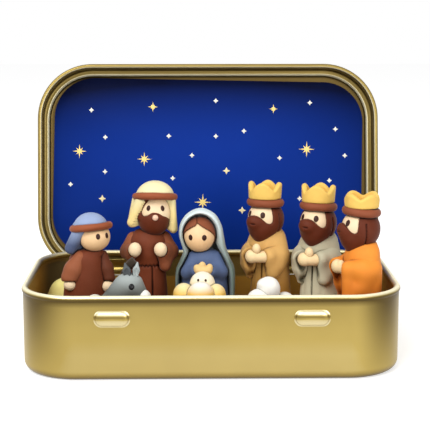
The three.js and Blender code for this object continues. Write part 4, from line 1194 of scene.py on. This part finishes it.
def bell_sleeve(side, fall):
    """A wide sleeve from the elbow to a drooping mouth that opens towards the middle: its rings, and how
    deep each place lies in the sleeve's hollow, as a share of dark painted shade. The left one ends in a
    point drawn back, the right one in a round lobe."""
    low = 22.8 - fall
    if side < 0:
        elbow, front = (-4.9, 0.1, 27.1), (-3.5, -5.0 - 0.16 * fall, 28.0)
        bulge, tip, end = (-4.4, -3.2, 25.0 - 0.5 * fall), (-4.3, -2.8 + 0.1 * fall, low - 1.5), 1.0
    else:
        elbow, front = (4.9, 0.2, 27.4), (3.4, -4.9 - 0.1 * fall, 28.2)
        bulge, tip, end = (4.7, -2.6, 24.8 - 0.5 * fall), (4.3, -4.0 - 0.4 * fall, low), 1.8
    lobes = [
        rod((side * 3.1, 1.7, 32.7), elbow, 2.8, 3.05),
        rod(elbow, bulge, 3.1, 2.5),
        rod(bulge, tip, 2.5, end),
        rod((side * 4.5, -1.2, 28.8), front, 2.8, 2.3),
        rod(front, tip, 2.3, end),
        ball((side * 4.8, -1.6, 27.2), (3.0, 3.1, 3.4)),
    ]
    if fall > LONG_FALL:
        lobes.append(rod((side * 4.4, 2.0, 28.0), (side * 4.4, 2.0, low), 3.2, 3.2))
        lobes.append(rod((side * 4.6, -0.6, 27.5), (side * 4.5, -1.2, low), 3.1, 3.0))
    edge = 3.4 - 0.8 * side
    mouth = side_of((side * edge, -6.2 - 0.22 * fall, 26.0), (side * 0.6, 0.8, 0.0))
    hollow_end = np.array(tip) + [-side * 0.6, -0.6, 0.6]
    hollow = rod((side * (edge - 0.7), -5.2 - 0.2 * fall, 27.8), hollow_end, 1.2, 0.8)
    sleeve = carved(0.4, melt(1.4, *lobes), mouth, hollow)
    rings = traced(sleeve, (side * 5.0, -1.8, 24.6 - 0.5 * fall), (side * 4.5, 1.0, 30.6), 9.0, 100, 130)
    return rings, np.clip((SLEEVE_SHADE_EDGE - hollow(rings)) / SLEEVE_SHADE_BLUR, 0, 1)


for row in KINGS:
    x, y, turn = row["place"]
    look, aside, fall = row["look"], row["robe"], row["fall"]
    height, dip, crown_shift = row["crown"]
    left_eye, right_eye, eye_lift = row["eyes"]
    cloth_slot = row["name"].replace("king_", "") + "_clay"
    colour, hem = ink(*row["cloth"]), ink(*row["hem"])
    # Painted light low on the mantle and robe, blended in below the sleeves.
    cloth = clay(cloth_slot, colour, low=hem, levels=(12.0, 30.0))
    skirt_cloth = clay(cloth_slot, colour, low=hem, levels=(18.0, 30.0))
    king = Figure(row["name"], row["name"], x, y, turn)
    pivot = (0, 0, CROWN_FOOT)
    held = king.head_held(pivot, look, row["tip"][0], row["shift"])
    topped = king.head_held(pivot, look, row["tip"][1], (crown_shift, row["shift"][1]))
    head = (0, -0.4, 39.7)
    head_size = (5.2, 5.2, 5.35)
    seam = front_line(aside - 0.7, 0.8, 0.2, -1, 30)
    folds = [front_line(aside + at, 0.22, 0.6, -1, 30) for at in (-3.8, 2.6)]
    skirt = turned([(7.2, 0), (7.3, 1.5), (6.9, 12), (6.3, 21), (5.9, 28)], 0.9, (aside, 0.9))
    robe = traced(scored(skirt, seam, *folds), (aside, 0.9, 4), (aside, 0.9, 23), rows=60, columns=160)
    king.add("robe", skirt_cloth, robe)
    chest = turned([(5.7, 26.5), (6.2, 28), (6.2, 29.5), (5.6, 32.6), (4.6, 36)], 0.92, (0, 0.9))
    shoulders = [rod((side * 3.1, 1.7, 32.9), (side * 4.9, 0.2, 27.4), 2.9, 3.15) for side in (-1, 1)]
    torso = traced(melt(1.6, chest, *shoulders), (0, 0.9, 29), (0, 0.9, 32), rows=70, columns=120)
    left_sleeve, left_lining = bell_sleeve(-1, fall)
    right_sleeve, right_lining = bell_sleeve(1, fall)
    # Dark painted shade inside the sleeves' hollows, and none on the torso.
    linings = (np.zeros(torso.shape[:2]), left_lining, right_lining)
    lining = np.concatenate([np.append(share, [0.0, 0.0]) for share in linings])
    king.add("mantle", cloth, torso, left_sleeve, right_sleeve, marks={"lining": lining})
    held.add("head", skin_tone, lump(head, head_size))
    held.add("hatband", hatband_brown, rolled_band((0, 0, BAND_LEVEL), 4.65, 1.35), looped=True)
    topped.add("crown", crown_gold, crown_cup(CROWN_TURN - look, height, dip))
    held.add("beard", hair_brown, king_beard(head, row["muzzle"]))
    drawn = 0.25 * fall
    fist = melt(
        0.7,
        ball((-1.4, -8.1 + drawn, 28.4), (1.9, 1.8, 2.15)),
        rod((-0.6, -7.9 + drawn, 28.3), (3.0, -5.0, 28.1), 1.8, 1.95),
    )
    thumb = (0.3, -7.7 + drawn, 30.9 - 0.4 * fall)
    hands = [
        traced(fist, (-1.2, -8 + drawn, 28.4), (1.6, -6.4 + drawn, 28.2), 6.0, 56, 72),
        lump(thumb, (1.35, 1.3, 1.7), 3.0),
    ]
    king.add("hands", joined_cream, *hands)
    dots = [(angle, eye_lift, 0.78, 1.0) for angle in (left_eye, right_eye)]
    held.eyes(eye_brown, head, head_size, *dots)

# Straw bundle
# A round heap of straw-coloured clay that stands in the back corner. It is one lump, wide at its foot and
# smoothed to a blunt top.
straw = Figure("straw_bundle", "straw", -46.8, 17.0)
share = [(0.97, 0), (1.0, 0.1), (0.94, 0.55), (0.72, 0.83), (0.4, 0.98)]
bundle = turned([(7.4 * radius, 19.2 * height) for radius, height in share], 1.0, soft=1.5)
straw.add("bundle", heap_yellow, traced(bundle, (0, 0, 5), (0, 0, 14)))

# Floor, light and camera
# A pale floor under soft studio light, seen from a little above: two square lamps, and a white room that
# lights the part less than it shows.
AMBIENT = 0.5
FLOOR_GLOW = 0.55


def seen_directly(start):
    """1 for what the eye sees, straight or in metal or glass, and 0 for the light cast on things."""
    kinds = ("Is Camera Ray", "Is Glossy Ray", "Is Transmission Ray")
    return sum(start.make("ShaderNodeLightPath", output=kind) for kind in kinds).clamped()


def white_floor():
    """Matt white floor: it takes light and shadow, and shows a little brighter to the eye."""
    material, start, spot = new_finish("white_floor")
    shown = seen_directly(start) * FLOOR_GLOW
    grain = start.noise(spot, 4, 2.0)
    tone = start.blend(grain, ink(232, 232, 232), ink(236, 236, 236))
    matt = start.make("ShaderNodeBsdfDiffuse", {}, {"Color": tone})
    glow = start.make("ShaderNodeEmission", {}, {"Color": (1, 1, 1, 1), "Strength": shown})
    both = start.make("ShaderNodeAddShader", {}, {0: matt, 1: glow})
    start.make("ShaderNodeOutputMaterial", {}, {"Surface": both})
    return material


floor_mesh = bpy.data.meshes.new("floor")
floor_corners = [(-1.2, -1.2, 0), (1.2, -1.2, 0), (1.2, 1.6, 0), (-1.2, 1.6, 0)]
floor_mesh.from_pydata(floor_corners, [], [(0, 1, 2, 3)])
floor_mesh.materials.append(white_floor())
floor = into_scene("floor", floor_mesh)

world = bpy.data.worlds.new("studio")
world.use_nodes = True
world.node_tree.nodes.clear()
studio = Shade(world.node_tree)
strength = AMBIENT + seen_directly(studio) * (1 - AMBIENT)
backdrop = studio.make("ShaderNodeBackground", {}, {"Color": (1, 1, 1, 1), "Strength": strength})
studio.make("ShaderNodeOutputWorld", {}, {"Surface": backdrop})
bpy.context.scene.world = world


def softbox(name, place, target, size, power):
    """Square studio light that faces a target."""
    lamp = bpy.data.lights.new(name, "AREA")
    lamp.shape = "SQUARE"
    lamp.size = size
    lamp.energy = power
    light = into_scene(name, lamp)
    look = np.array(target, float) - place
    light.location = place
    light.rotation_mode = "QUATERNION"
    light.rotation_quaternion = Vector(look).to_track_quat("-Z", "Y")


softbox("key_light", (-0.30, -0.50, 0.60), (0, 0, 0.04), size=0.45, power=4.6)
softbox("fill_light", (0.35, -0.7, 0.22), (0, 0, 0.04), size=0.4, power=2.2)

camera = bpy.data.cameras.new("camera")
camera.sensor_width = 36.0
camera.lens = 106.94
camera.clip_start = 0.01
camera.clip_end = 20.0
eye = into_scene("camera", camera)
eye.location = (-0.0061, -0.39158, 0.11204)
eye.rotation_euler = np.radians([80.037, 0.0, -1.102])
bpy.context.scene.camera = eye
bpy.context.scene.view_settings.view_transform = "Standard"
